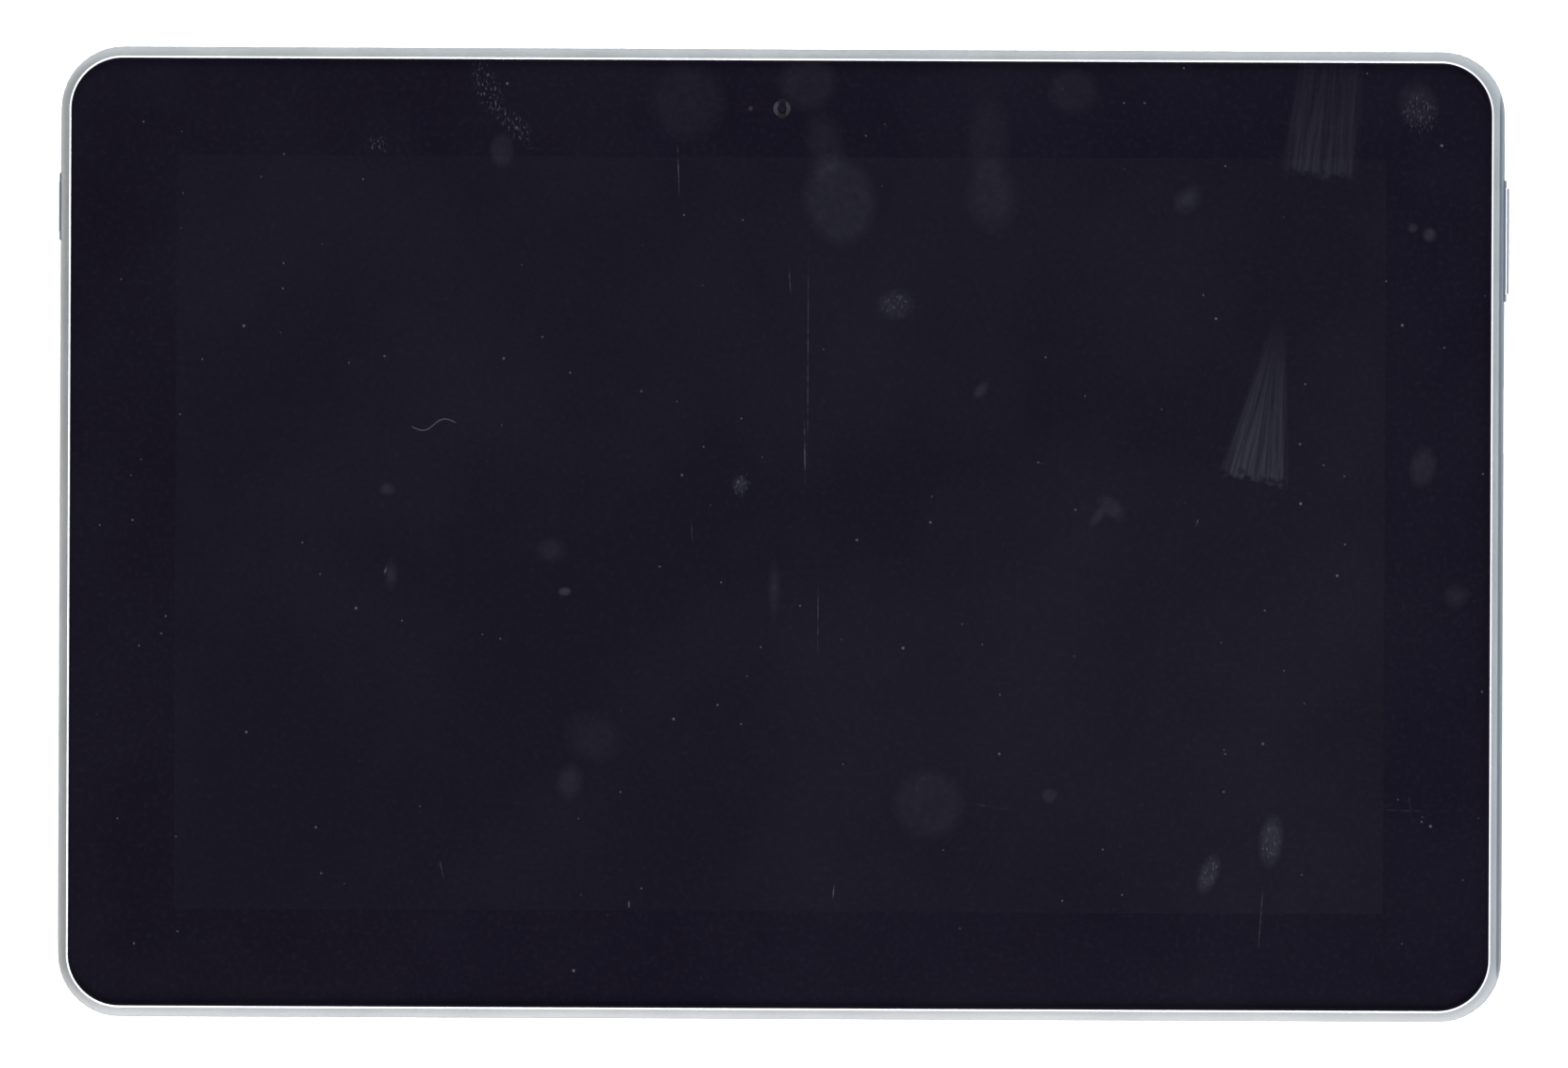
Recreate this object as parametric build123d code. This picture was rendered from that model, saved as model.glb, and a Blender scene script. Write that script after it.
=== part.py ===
from build123d import *
from math import radians, sin
import os

# Tablet computer with a 10.1 inch screen, lying on its back with the screen up.
# X runs along the long side, Y towards the edge with the front camera, Z up.
# Z = 0 is the flat back face that the tablet rests on. Sizes are in millimetres.
# An inset is a distance inwards from the widest outline of the body.

os.makedirs("parts", exist_ok=True)

# --- Screen and cover glass -------------------------------------------------------------
display_length = 217.0
display_width = 135.6
side_border = 19.0
long_border = 17.1
glass_corner = 9.2
glass_length = display_length + 2 * side_border
glass_width = display_width + 2 * long_border
glass_edge_bevel = 0.12

# --- Rim of the front frame, from the glass outwards ------------------------------------
glass_gap = 0.08
bevel_width = 0.40
bevel_drop = 0.34
slope_width = 0.90
seam_width = 0.27
cover_lip = 0.35
rim_width = glass_gap + bevel_width + slope_width + seam_width + cover_lip
body_length = glass_length + 2 * rim_width
body_width = glass_width + 2 * rim_width
body_corner = glass_corner + rim_width

# --- Layers, from the back to the glass -------------------------------------------------
back_wall = 1.2
battery_space = 0.40
cell_thickness = 3.8
tape_thickness = 0.25
plate_thickness = 0.6
tray_floor = 0.20
reflector_thickness = 0.12
guide_thickness = 0.55
film_thickness = 0.11
film_count = 3
polariser_thickness = 0.14
pane_thickness = 0.50
lcd_gasket_thickness = 0.25
sensor_thickness = 0.15
glass_thickness = 0.80

cell_bottom = back_wall + battery_space
cell_top = cell_bottom + cell_thickness
plate_bottom = cell_top + tape_thickness
plate_top = plate_bottom + plate_thickness
reflector_bottom = plate_top + tray_floor
guide_bottom = reflector_bottom + reflector_thickness
films_bottom = guide_bottom + guide_thickness
rear_polariser_bottom = films_bottom + film_count * film_thickness
tft_bottom = rear_polariser_bottom + polariser_thickness
filter_bottom = tft_bottom + pane_thickness
front_polariser_bottom = filter_bottom + pane_thickness
lcd_gasket_bottom = front_polariser_bottom + polariser_thickness
sensor_bottom = lcd_gasket_bottom + lcd_gasket_thickness
glass_bottom = sensor_bottom + sensor_thickness
glass_top = glass_bottom + glass_thickness

# --- Rear cover and front frame ---------------------------------------------------------
side_wall = 1.9
back_edge_radius = 3.8
lip_round = 0.15
seam_height = 0.30
seam_depth = 0.70
seam_z = plate_top + 0.30
frame_bottom = seam_z + seam_height
snug = 0.10
skirt_wall = 1.0
skirt_inset = side_wall + snug
ledge_width = 3.4
ledge_thickness = 0.8
adhesive_thickness = 0.20
adhesive_margin = 0.3
ledge_top = glass_bottom - adhesive_thickness
ledge_bottom = ledge_top - ledge_thickness
ledge_inset = skirt_inset + ledge_width
chassis_inset = skirt_inset + skirt_wall + snug

# --- Liquid crystal display and its backlight -------------------------------------------
lcd_border = 4.0
lcd_driver_border = 7.5
cell_ledge = 3.0
polariser_margin = 2.0
tray_wall = 0.30
light_bar_width = 2.6
layer_margin = 0.3

# --- Circuit boards ---------------------------------------------------------------------
board_thickness = 0.8
boss_height = 0.45
board_top = plate_bottom - boss_height
board_bottom = board_top - board_thickness
board_wall_gap = 4.5
side_board_width = 17.0
side_board_length = 60.0
side_board_from_top = 15.0
main_board_length = 150.0
main_board_width = 33.0
main_board_from_top = 7.5
port_board_length = 44.0
port_board_width = 11.0
port_board_from_bottom = 4.2

# Chips on the main board: place along it, place up from its lower edge, length, width, height
chips = {
    "processor": [(-34, 15, 14, 14, 1.0)],
    "memory_chips": [(-52, 22, 10, 8, 0.9), (-52, 10, 10, 8, 0.9), (-17, 16, 7, 12, 0.9)],
    "power_chip": [(26, 16, 9, 9, 0.8)],
    "wireless_module": [(52, 20, 12, 12, 1.2)],
}
shield_places = [(-37, 16, 52, 22), (26, 16, 18, 20)]
shield_height = 1.5
shield_sheet = 0.2

# --- Screws -----------------------------------------------------------------------------
screw_radius = 0.70
screw_head_radius = 1.25
screw_head_height = 0.45
screw_play = 0.06
boss_radius = 1.9
screw_tip_gap = 0.15
board_screw_margin = 2.6
middle_screw_x = 14.0
chassis_screw_depth = 0.55
chassis_screw_from_end = 44.0
chassis_screw_from_middle = 31.0
chassis_screw_heights = (-26.0, 10.0)

# --- Battery ----------------------------------------------------------------------------
cell_gap = 4.0
cell_round = 1.2
bay_margin = 16.0
battery_to_board = 12.0
battery_to_port = 8.0
pack_board_length = 60.0
pack_board_width = 5.0
tape_width = 14.0

# --- Buttons and their switches ---------------------------------------------------------
key_height = 2.4
key_below_seam = 1.35
key_z = seam_z - key_below_seam - key_height / 2
key_clearance = 0.16
key_flange = 0.7
key_flange_depth = 0.8
key_flange_gap = 0.10
key_round = 0.5
power_key_length = 9.5
power_key_out = 0.45
power_from_top = 28.7
power_travel = 0.30
rocker_length = 19.2
rocker_out = 0.80
rocker_from_top = 33.8
rocker_swing = 1.2
rocker_play = 0.08
rocker_hub_radius = 0.9
rocker_hub_height = 2.0
rocker_pin_radius = 0.5
rocker_pin_play = 0.06
rocker_nub_spacing = 12.0
bracket_width = 5.0
bracket_sheet = 0.30
bracket_play = 0.10
switch_length = 3.4
switch_depth = 2.2
switch_height = 1.6
switch_gap = 0.08
nub_width = 1.4
nub_height = 1.2
nub_length = 0.6

# --- Sockets ----------------------------------------------------------------------------
jack_bore_radius = 1.8
jack_height = 4.2
jack_width = 6.2
jack_recess = 1.0
jack_depth = 13.6
jack_end_wall = 0.6
jack_from_top = 62.0
socket_play = 0.12
usb_width = 7.6
usb_height = 2.6
usb_length = 5.6
usb_wall = 0.30
usb_recess = 0.9
usb_tongue_width = 3.7
usb_tongue_height = 0.6
card_width = 11.4
card_height = 1.4
card_reader_width = 13.6
card_reader_length = 14.5
card_wall = 0.2
card_from_top = 66.0
microphone_from_centre = 14.0
microphone_size = 3.0
microphone_height = 1.1
microphone_hole_radius = 0.5

# --- Cameras ----------------------------------------------------------------------------
front_camera_from_glass = 8.6
front_camera_size = 7.0
front_lens_radius = 1.7
front_lens_height = 0.5
front_barrel_radius = 2.4
front_barrel_height = 0.7
light_sensor_offset = 5.6
light_sensor_length = 2.0
light_sensor_width = 1.4
light_sensor_height = 0.6
light_holder_size = 3.0
rear_camera_from_top = 16.0
rear_camera_size = 9.0
rear_barrel_radius = 3.2
rear_barrel_height = 1.05
rear_lens_radius = 2.2
rear_lens_height = 0.4
rear_window_radius = 3.6
rear_window_thickness = 0.55
rear_ring_radius = 5.0
rear_ring_depth = 0.7
rear_window_land = 0.9
camera_play = 0.08
camera_foam = 0.15

# --- Speakers ---------------------------------------------------------------------------
speaker_width = 17.0
speaker_length = 38.0
speaker_from_bottom = 22.0
speaker_gasket_width = 1.5
speaker_gasket_thickness = 0.25
mesh_thickness = 0.15
cone_width = 10.0
cone_length = 20.0
cone_play = 0.2
cone_recess = 0.3
mouth_depth = 1.0
speaker_corner = 1.5
grille_hole_radius = 0.5
grille_pitch = 2.2
grille_rows = 10
grille_columns = 3

# --- Antennas and their cables ----------------------------------------------------------
antenna_length = 24.0
antenna_width = 4.0
antenna_height = 2.2
antenna_from_end = 29.5
antenna_from_top = 5.2
coax_radius = 0.45
coax_bend = 2.4
coax_plug_size = 1.8
coax_from_module = 4.0
coax_spacing = 6.0

# --- Flat cables ------------------------------------------------------------------------
flex_thickness = 0.15
flex_play = 0.25
slot_margin = 1.0
display_flex_width = 12.0
touch_flex_width = 9.0
touch_flex_x = 30.0
camera_flex_width = 4.0
camera_flex_x = 11.0
port_flex_width = 3.0
side_flex_width = 6.0
connector_height = 0.9
connector_depth = 3.0
connector_margin = 1.5

# --- Heights and edges worked out from the sizes above ----------------------------------
half_length = body_length / 2
half_width = body_width / 2
side_board_out = half_length - board_wall_gap
side_board_in = side_board_out - side_board_width
main_board_top_y = half_width - main_board_from_top
main_board_bottom_y = main_board_top_y - main_board_width
port_board_bottom_y = -half_width + port_board_from_bottom
port_board_top_y = port_board_bottom_y + port_board_width
side_board_top_y = half_width - side_board_from_top
side_board_bottom_y = side_board_top_y - side_board_length
power_y = half_width - power_from_top
rocker_y = half_width - rocker_from_top
jack_y = half_width - jack_from_top
jack_z = (back_wall + plate_bottom) / 2
card_y = half_width - card_from_top
front_camera_y = glass_width / 2 - front_camera_from_glass
rear_camera_y = half_width - rear_camera_from_top
speaker_x = side_board_in + side_board_width / 2
speaker_y = -half_width + speaker_from_bottom + speaker_length / 2
cell_right_edge = side_board_in - bay_margin
cell_length = cell_right_edge - cell_gap / 2
cell_top_y = main_board_bottom_y - battery_to_board
cell_bottom_y = port_board_top_y + battery_to_port
cell_width = cell_top_y - cell_bottom_y
cell_centre_y = (cell_top_y + cell_bottom_y) / 2
lcd_right = display_length / 2 + lcd_border
lcd_top_y = display_width / 2 + lcd_border
lcd_bottom_y = -display_width / 2 - lcd_driver_border
usb_top = board_bottom
slot_y = (main_board_top_y + half_width - ledge_inset) / 2
display_flex_x = -(cell_gap + cell_length) / 2
under_board_z = board_bottom - flex_thickness / 2
above_cell_z = cell_top + flex_thickness / 2 + 0.02
switch_z = board_bottom - switch_height / 2
key_flange_out = side_wall + key_flange_gap
rocker_end_swing = (rocker_length / 2 + key_flange) * sin(radians(rocker_swing))
rocker_nub_swing = rocker_nub_spacing / 2 * sin(radians(rocker_swing))
rocker_flange_out = side_wall + rocker_end_swing + rocker_play
rocker_hub_inset = rocker_flange_out + key_flange_depth
power_switch_inset = key_flange_out + key_flange_depth + nub_length + power_travel + switch_gap
rocker_switch_inset = rocker_hub_inset + nub_length + rocker_nub_swing + switch_gap
coax_z = board_bottom - coax_radius
coax_y = half_width - side_wall - 2.6
module_x, module_from_edge, module_size = chips["wireless_module"][0][:3]
module_y = main_board_bottom_y + module_from_edge
antenna_x = half_length - antenna_from_end


def block(left, right, low_y, high_y, bottom, top):
    """A box between two places along each axis."""
    centre = Pos((left + right) / 2, (low_y + high_y) / 2, (bottom + top) / 2)
    return centre * Box(right - left, high_y - low_y, top - bottom)


def box_at(x, y, length, width, bottom, top):
    """A box with its middle over x, y."""
    return block(x - length / 2, x + length / 2, y - width / 2, y + width / 2, bottom, top)


def rod(x, y, radius, bottom, top):
    """An upright cylinder."""
    return Pos(x, y, (bottom + top) / 2) * Cylinder(radius, top - bottom)


def rod_along_x(y, z, radius, start, end):
    """A cylinder that lies along X."""
    return Pos((start + end) / 2, y, z) * Rot(0, 90, 0) * Cylinder(radius, abs(end - start))


def slab(inset, bottom, top):
    """The body's outline, moved inwards by inset, as a plate."""
    sketch = RectangleRounded(body_length - 2 * inset, body_width - 2 * inset, body_corner - inset)
    return extrude(Pos(0, 0, bottom) * sketch, top - bottom)


def ring(outer_inset, inner_inset, bottom, top):
    """A band that follows the body's outline."""
    return slab(outer_inset, bottom, top) - slab(inner_inset, bottom, top)


def frame_band(left, right, low_y, high_y, width, bottom, top):
    """A flat rectangular ring."""
    outer = block(left, right, low_y, high_y, bottom, top)
    return outer - block(left + width, right - width, low_y + width, high_y - width, bottom, top)


def lcd_layer(margin, bottom, top, bottom_margin=None):
    """A sheet of the display stack, smaller than the module by margin on each side."""
    low_margin = margin if bottom_margin is None else bottom_margin
    return block(-lcd_right + margin, lcd_right - margin,
                 lcd_bottom_y + low_margin, lcd_top_y - margin, bottom, top)


def bottom_rounded(shape, radius):
    """The same shape with the edge of its lowest face rounded."""
    return fillet(shape.faces().sort_by(Axis.Z)[0].edges(), radius)


def ribbon(points, x, width):
    """A flat cable across X that follows square bends given as (y, z)."""
    half = flex_thickness / 2
    cable = None
    for (y0, z0), (y1, z1) in zip(points, points[1:]):
        run = block(x - width / 2, x + width / 2, min(y0, y1) - half, max(y0, y1) + half,
                    min(z0, z1) - half, max(z0, z1) + half)
        cable = run if cable is None else cable + run
    return cable


def main_screw_places():
    """Centres of the screws through the main board."""
    x_out = main_board_length / 2 - board_screw_margin
    low = main_board_bottom_y + board_screw_margin
    high = main_board_top_y - board_screw_margin
    corners = [(x, y) for x in (-x_out, x_out) for y in (low, high)]
    return corners + [(-middle_screw_x, low), (middle_screw_x, low)]


def side_screw_places():
    """Centres of the screws through the two side boards."""
    x_in = side_board_in + board_screw_margin
    low = side_board_bottom_y + board_screw_margin
    high = side_board_top_y - board_screw_margin
    return [(side * x_in, y) for side in (-1, 1) for y in (low, high)]


def port_screw_places():
    """Centres of the screws through the port board."""
    x_out = port_board_length / 2 - board_screw_margin
    return [(side * x_out, port_board_top_y - board_screw_margin) for side in (-1, 1)]


def board_screw_places():
    return main_screw_places() + side_screw_places() + port_screw_places()


def chassis_screw_places():
    """Centres of the screws that hold the chassis to the front frame."""
    x_out = half_length - (chassis_inset + ledge_inset) / 2
    y_out = half_width - (chassis_inset + ledge_inset) / 2
    along = (chassis_screw_from_middle, half_length - chassis_screw_from_end)
    long_sides = [(side * x, y) for x in along for side in (-1, 1) for y in (-y_out, y_out)]
    short_sides = [(x, y) for y in chassis_screw_heights for x in (-x_out, x_out)]
    return long_sides + short_sides


# --- Casing -----------------------------------------------------------------------------

def grille_holes(side):
    """Sound holes through the back under one speaker."""
    holes = []
    for row in range(grille_rows):
        for column in range(grille_columns):
            x = side * speaker_x + (column - (grille_columns - 1) / 2) * grille_pitch
            y = speaker_y + (row - (grille_rows - 1) / 2) * grille_pitch
            holes.append(rod(x, y, grille_hole_radius, -1, back_wall + 1))
    return holes


def rear_cover():
    """Moulded back shell: floor, rounded side walls, a tongue for the frame and all the openings."""
    shell = bottom_rounded(slab(0, 0, seam_z), back_edge_radius)
    shell = fillet(shell.faces().sort_by(Axis.Z)[-1].edges(), lip_round)
    shell += ring(cover_lip + seam_width, side_wall, seam_z - seam_depth, frame_bottom)
    shell -= ring(cover_lip, cover_lip + seam_width, seam_z - seam_depth, frame_bottom)
    shell -= bottom_rounded(slab(side_wall, back_wall, frame_bottom + 1), back_edge_radius - side_wall)
    slot_height = key_height + 2 * key_clearance
    for side, y, length in ((-1, power_y, power_key_length), (1, rocker_y, rocker_length)):
        shell -= box_at(side * half_length, y, 4 * side_wall, length + 2 * key_clearance,
                        key_z - slot_height / 2, key_z + slot_height / 2)
    shell -= rod_along_x(jack_y, jack_z, jack_height / 2 + socket_play,
                         -half_length - 1, -half_length + back_edge_radius + snug)
    shell -= box_at(half_length, card_y, 4 * side_wall, card_width + 2 * socket_play,
                    board_bottom - card_height - socket_play, board_bottom + socket_play)
    shell -= box_at(0, -half_width, usb_width + 2 * socket_play, 4 * side_wall,
                    usb_top - usb_height - socket_play, usb_top + socket_play)
    hole_start = Pos(microphone_from_centre, -half_width, board_bottom - microphone_height / 2)
    shell -= hole_start * Rot(90, 0, 0) * Cylinder(microphone_hole_radius, 4 * side_wall)
    shell -= rod(0, rear_camera_y, rear_window_radius - rear_window_land, -1, back_wall + 1)
    shell -= rod(0, rear_camera_y, rear_ring_radius + camera_play, -1, rear_ring_depth)
    for side in (-1, 1):
        shell -= grille_holes(side)
    return shell


def front_frame():
    """Bright metal-finish rim round the glass, with a ledge for the glass and a skirt inside the cover."""
    bevel_inner = rim_width - glass_gap
    bevel_outer = bevel_inner - bevel_width
    slope_outer = bevel_outer - slope_width
    points = [
        (slope_outer, frame_bottom), (bevel_outer, glass_top - bevel_drop), (bevel_inner, glass_top),
        (bevel_inner, ledge_top), (ledge_inset, ledge_top), (ledge_inset, ledge_bottom),
        (skirt_inset + skirt_wall, ledge_bottom), (skirt_inset + skirt_wall, plate_bottom),
        (skirt_inset, plate_bottom), (skirt_inset, frame_bottom),
    ]
    outline = Polyline(*[(half_length - inset, z) for inset, z in points], close=True)
    path = RectangleRounded(body_length, body_width, body_corner).face().outer_wire()
    frame = sweep(make_face(Plane.XZ * outline), path=path)
    for x, y in chassis_screw_places():
        frame -= rod(x, y, screw_radius + screw_play, ledge_bottom - 1, ledge_bottom + chassis_screw_depth)
    return frame


def mid_frame():
    """Cast chassis plate: it carries the display above, the battery and the boards below."""
    frame = slab(chassis_inset, plate_bottom, plate_top)
    frame += ring(chassis_inset, ledge_inset, plate_bottom, ledge_bottom)
    for x, y in board_screw_places():
        frame += rod(x, y, boss_radius, board_top, plate_bottom)
    for x, y in board_screw_places():
        frame -= rod(x, y, screw_radius + screw_play, board_top - 1, plate_top)
    for x, y in chassis_screw_places():
        frame -= rod(x, y, screw_radius + screw_play, plate_bottom - 1, ledge_bottom + 1)
    slots = ((display_flex_x, -slot_y, display_flex_width), (touch_flex_x, slot_y, touch_flex_width),
             (camera_flex_x, slot_y, camera_flex_width))
    for x, y, width in slots:
        frame -= box_at(x, y, width + slot_margin, flex_thickness + 2 * flex_play,
                        plate_bottom - 1, plate_top + 1)
    return frame


def cover_glass():
    """Cover glass with a slightly bevelled front edge."""
    sheet = extrude(Pos(0, 0, glass_bottom) * RectangleRounded(glass_length, glass_width, glass_corner),
                    glass_thickness)
    return chamfer(sheet.faces().sort_by(Axis.Z)[-1].edges(), glass_edge_bevel)


def glass_adhesive():
    """Die-cut adhesive ring between the glass and the frame's ledge."""
    return ring(rim_width + adhesive_margin, ledge_inset - adhesive_margin, ledge_top, glass_bottom)


# --- Display ----------------------------------------------------------------------------

def touch_sensor():
    """Touch film bonded to the back of the glass."""
    return lcd_layer(-1.0, sensor_bottom, glass_bottom)


def lcd_gasket():
    """Thin foam ring between the display and the touch film."""
    return frame_band(-lcd_right + polariser_margin, lcd_right - polariser_margin,
                      lcd_bottom_y + cell_ledge, lcd_top_y - polariser_margin,
                      1.5, lcd_gasket_bottom, sensor_bottom)


def polarisers():
    """Polarising films on the two outer faces of the display's glass."""
    return [lcd_layer(polariser_margin, bottom, bottom + polariser_thickness, cell_ledge)
            for bottom in (rear_polariser_bottom, front_polariser_bottom)]


def colour_filter_pane():
    """Upper glass of the display, short of the ledge that the driver chip sits on."""
    return lcd_layer(layer_margin, filter_bottom, front_polariser_bottom, cell_ledge)


def tft_pane():
    """Lower glass of the display, with the ledge for the driver chip."""
    return lcd_layer(layer_margin, tft_bottom, filter_bottom)


def driver_chip():
    """Long driver chip on the ledge of the lower glass."""
    return box_at(0, lcd_bottom_y + cell_ledge / 2, 24, 1.2, filter_bottom, filter_bottom + 0.3)


def optical_films():
    """Diffuser and prism films, one on the other."""
    inner = tray_wall + layer_margin
    return [lcd_layer(inner, films_bottom + step * film_thickness,
                      films_bottom + (step + 1) * film_thickness, light_bar_width + tray_wall)
            for step in range(film_count)]


def light_guide():
    return lcd_layer(tray_wall + layer_margin, guide_bottom, films_bottom, light_bar_width + tray_wall)


def reflector_sheet():
    return lcd_layer(tray_wall + layer_margin, reflector_bottom, guide_bottom)


def light_bar():
    """Narrow board with the white lamps of the backlight, along the lower edge."""
    low = lcd_bottom_y + tray_wall + layer_margin
    bar = block(-lcd_right + 8, lcd_right - 8, low, low + 0.5, guide_bottom, films_bottom)
    lamp_count = 36
    pitch = (2 * lcd_right - 20) / lamp_count
    for index in range(lamp_count):
        x = (index - (lamp_count - 1) / 2) * pitch
        bar += block(x - 1.2, x + 1.2, low + 0.5, low + 1.2, guide_bottom, films_bottom)
    return bar


def backlight_tray():
    """Pressed tray that holds the backlight's layers and the display."""
    tray = lcd_layer(0, plate_top, tft_bottom)
    return tray - lcd_layer(tray_wall, reflector_bottom, tft_bottom + 1)


# --- Battery ----------------------------------------------------------------------------

def battery_cell(side):
    """Flat pouch cell with soft rounded edges."""
    x = side * (cell_gap / 2 + cell_length / 2)
    cell = box_at(x, cell_centre_y, cell_length, cell_width, cell_bottom, cell_top)
    return fillet(cell.edges().filter_by(Axis.Y), cell_round)


def battery_tape():
    """Two adhesive strips under each cell."""
    strips = []
    for side in (-1, 1):
        for share in (0.25, 0.75):
            x = side * (cell_gap / 2 + share * cell_length)
            strips.append(box_at(x, cell_centre_y, tape_width, cell_width - 10, cell_top, plate_bottom))
    return strips


def battery_board():
    """Protection board along the upper edge of the two cells."""
    return block(-pack_board_length / 2, pack_board_length / 2, cell_top_y + 0.3,
                 cell_top_y + 0.3 + pack_board_width, board_bottom, board_top)


def battery_lead():
    """Flat lead from the protection board to its connector on the main board."""
    low = cell_top_y + 0.3 + pack_board_width - 2.0
    high = main_board_bottom_y + connector_depth
    return block(-6, 6, low, high, board_bottom - flex_thickness, board_bottom)


# --- Main board -------------------------------------------------------------------------

def drilled(board, places):
    """A board with clearance holes for its screws."""
    for x, y in places:
        board -= rod(x, y, screw_radius + screw_play, board_bottom - 1, board_top + 1)
    return board


def main_board():
    board = block(-main_board_length / 2, main_board_length / 2, main_board_bottom_y, main_board_top_y,
                  board_bottom, board_top)
    board -= block(-rear_camera_size / 2 - 1, rear_camera_size / 2 + 1,
                   rear_camera_y - rear_camera_size / 2 - 1, main_board_top_y + 1,
                   board_bottom - 1, board_top + 1)
    return drilled(board, main_screw_places())


def chips_named(name):
    """The chips of one kind, on the underside of the main board."""
    return [box_at(x, main_board_bottom_y + y, length, width, board_bottom - height, board_bottom)
            for x, y, length, width, height in chips[name]]


def shield_can(x, y, length, width):
    """Thin pressed can soldered over a group of chips."""
    y_middle = main_board_bottom_y + y
    can = box_at(x, y_middle, length, width, board_bottom - shield_height, board_bottom)
    return can - box_at(x, y_middle, length - 2 * shield_sheet, width - 2 * shield_sheet,
                        board_bottom - shield_height + shield_sheet, board_bottom + 1)


def shield_cans():
    return [shield_can(*place) for place in shield_places]


# --- Flat cables and connectors ---------------------------------------------------------

def display_flex():
    """From the ledge of the lower glass, down through the chassis and over a cell to the main board."""
    board_edge = main_board_bottom_y - 1.0
    half = flex_thickness / 2
    return ribbon([(lcd_bottom_y + 0.8, filter_bottom + half), (-slot_y, filter_bottom + half),
                   (-slot_y, above_cell_z), (board_edge, above_cell_z), (board_edge, under_board_z),
                   (main_board_bottom_y + connector_depth, under_board_z)],
                  display_flex_x, display_flex_width)


def touch_flex():
    """From the touch film down past the upper edge of the main board."""
    half = flex_thickness / 2
    return ribbon([(lcd_top_y - 0.8, sensor_bottom - half), (slot_y, sensor_bottom - half),
                   (slot_y, under_board_z), (main_board_top_y - connector_depth, under_board_z)],
                  touch_flex_x, touch_flex_width)


def camera_flex():
    """Pad under the front camera and the light sensor, with a tail to the main board."""
    half = flex_thickness / 2
    pad = block(-light_sensor_offset - light_holder_size, camera_flex_x + camera_flex_width / 2,
                front_camera_y - 2.5, front_camera_y + 2.5, plate_top, plate_top + flex_thickness)
    tail = ribbon([(front_camera_y, plate_top + half), (slot_y, plate_top + half),
                   (slot_y, under_board_z), (main_board_top_y - connector_depth, under_board_z)],
                  camera_flex_x, camera_flex_width)
    return pad + tail


def port_flex():
    """From the port board, between the two cells, to the main board."""
    return block(-port_flex_width / 2, port_flex_width / 2, port_board_top_y - connector_depth,
                 cell_top_y + 0.2, above_cell_z - flex_thickness / 2, above_cell_z + flex_thickness / 2)


def board_connectors():
    """Low connectors that press the flat cables against the underside of the main board."""
    places = [(display_flex_x, main_board_bottom_y, 1, display_flex_width),
              (0, main_board_bottom_y, 1, 12),
              (touch_flex_x, main_board_top_y, -1, touch_flex_width),
              (camera_flex_x, main_board_top_y, -1, camera_flex_width)]
    parts = []
    for x, edge, way, width in places:
        y = edge + way * connector_depth / 2
        parts.append(box_at(x, y, width + connector_margin, connector_depth,
                            board_bottom - flex_thickness - connector_height,
                            board_bottom - flex_thickness))
    return parts


def side_flex(side):
    """From a side board to the end of the main board, flat against the underside of both."""
    y = side_board_top_y - 18
    return block(*sorted((side * (main_board_length / 2 - 4), side * (side_board_in + 3))),
                 y - side_flex_width / 2, y + side_flex_width / 2,
                 board_bottom - flex_thickness, board_bottom)


# --- Side boards, sockets and switches --------------------------------------------------

def side_board(side):
    """Narrow board inside a short edge of the body."""
    near, far = sorted((side * side_board_in, side * side_board_out))
    board = block(near, far, side_board_bottom_y, side_board_top_y, board_bottom, board_top)
    return drilled(board, side_screw_places())


def audio_board():
    """Left side board, cut out round the headphone socket."""
    end = -half_length + jack_recess + jack_depth + jack_end_wall
    notch = block(-half_length, end + socket_play, jack_y - jack_width / 2 - socket_play,
                  jack_y + jack_width / 2 + socket_play, board_bottom - 1, board_top + 1)
    return side_board(-1) - notch


def headphone_jack():
    """Socket for a 3.5 mm plug, with a round nose in the wall of the cover."""
    mouth = -half_length + jack_recess
    end = mouth + jack_depth + jack_end_wall
    shoulder = -half_length + back_edge_radius + snug
    body = block(shoulder, end, jack_y - jack_width / 2, jack_y + jack_width / 2,
                 jack_z - jack_height / 2, jack_z + jack_height / 2)
    body += rod_along_x(jack_y, jack_z, jack_height / 2, mouth, shoulder + 1)
    return body - rod_along_x(jack_y, jack_z, jack_bore_radius, mouth - 1, mouth + jack_depth)


def port_board():
    """Small board inside the lower edge, for the charging socket and the microphone."""
    board = block(-port_board_length / 2, port_board_length / 2, port_board_bottom_y, port_board_top_y,
                  board_bottom, board_top)
    return drilled(board, port_screw_places())


def usb_shell():
    """Folded metal shell of the charging socket."""
    front = -half_width + usb_recess
    shell = block(-usb_width / 2, usb_width / 2, front, front + usb_length, usb_top - usb_height, usb_top)
    shell = fillet(shell.edges().filter_by(Axis.Y).sort_by(Axis.Z)[:2], 0.6)
    inside = block(-usb_width / 2 + usb_wall, usb_width / 2 - usb_wall, front - 1,
                   front + usb_length - usb_wall, usb_top - usb_height + usb_wall, usb_top - usb_wall)
    return shell - fillet(inside.edges().filter_by(Axis.Y).sort_by(Axis.Z)[:2], 0.4)


def usb_tongue():
    """Contact tongue inside the shell, in one piece with the block behind it."""
    front = -half_width + usb_recess + 0.6
    back = -half_width + usb_recess + usb_length - usb_wall
    top = usb_top - usb_wall
    tongue = block(-usb_tongue_width / 2, usb_tongue_width / 2, front, back,
                   top - 0.5 - usb_tongue_height, top - 0.5)
    root = block(-usb_width / 2 + usb_wall + 0.1, usb_width / 2 - usb_wall - 0.1, back - 1.0, back,
                 usb_top - usb_height / 2, top)
    return tongue + root


def microphone():
    """Microphone can under the port board, behind its hole in the edge."""
    y = port_board_bottom_y + microphone_size / 2
    return box_at(microphone_from_centre, y, microphone_size, microphone_size,
                  board_bottom - microphone_height, board_bottom)


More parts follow.
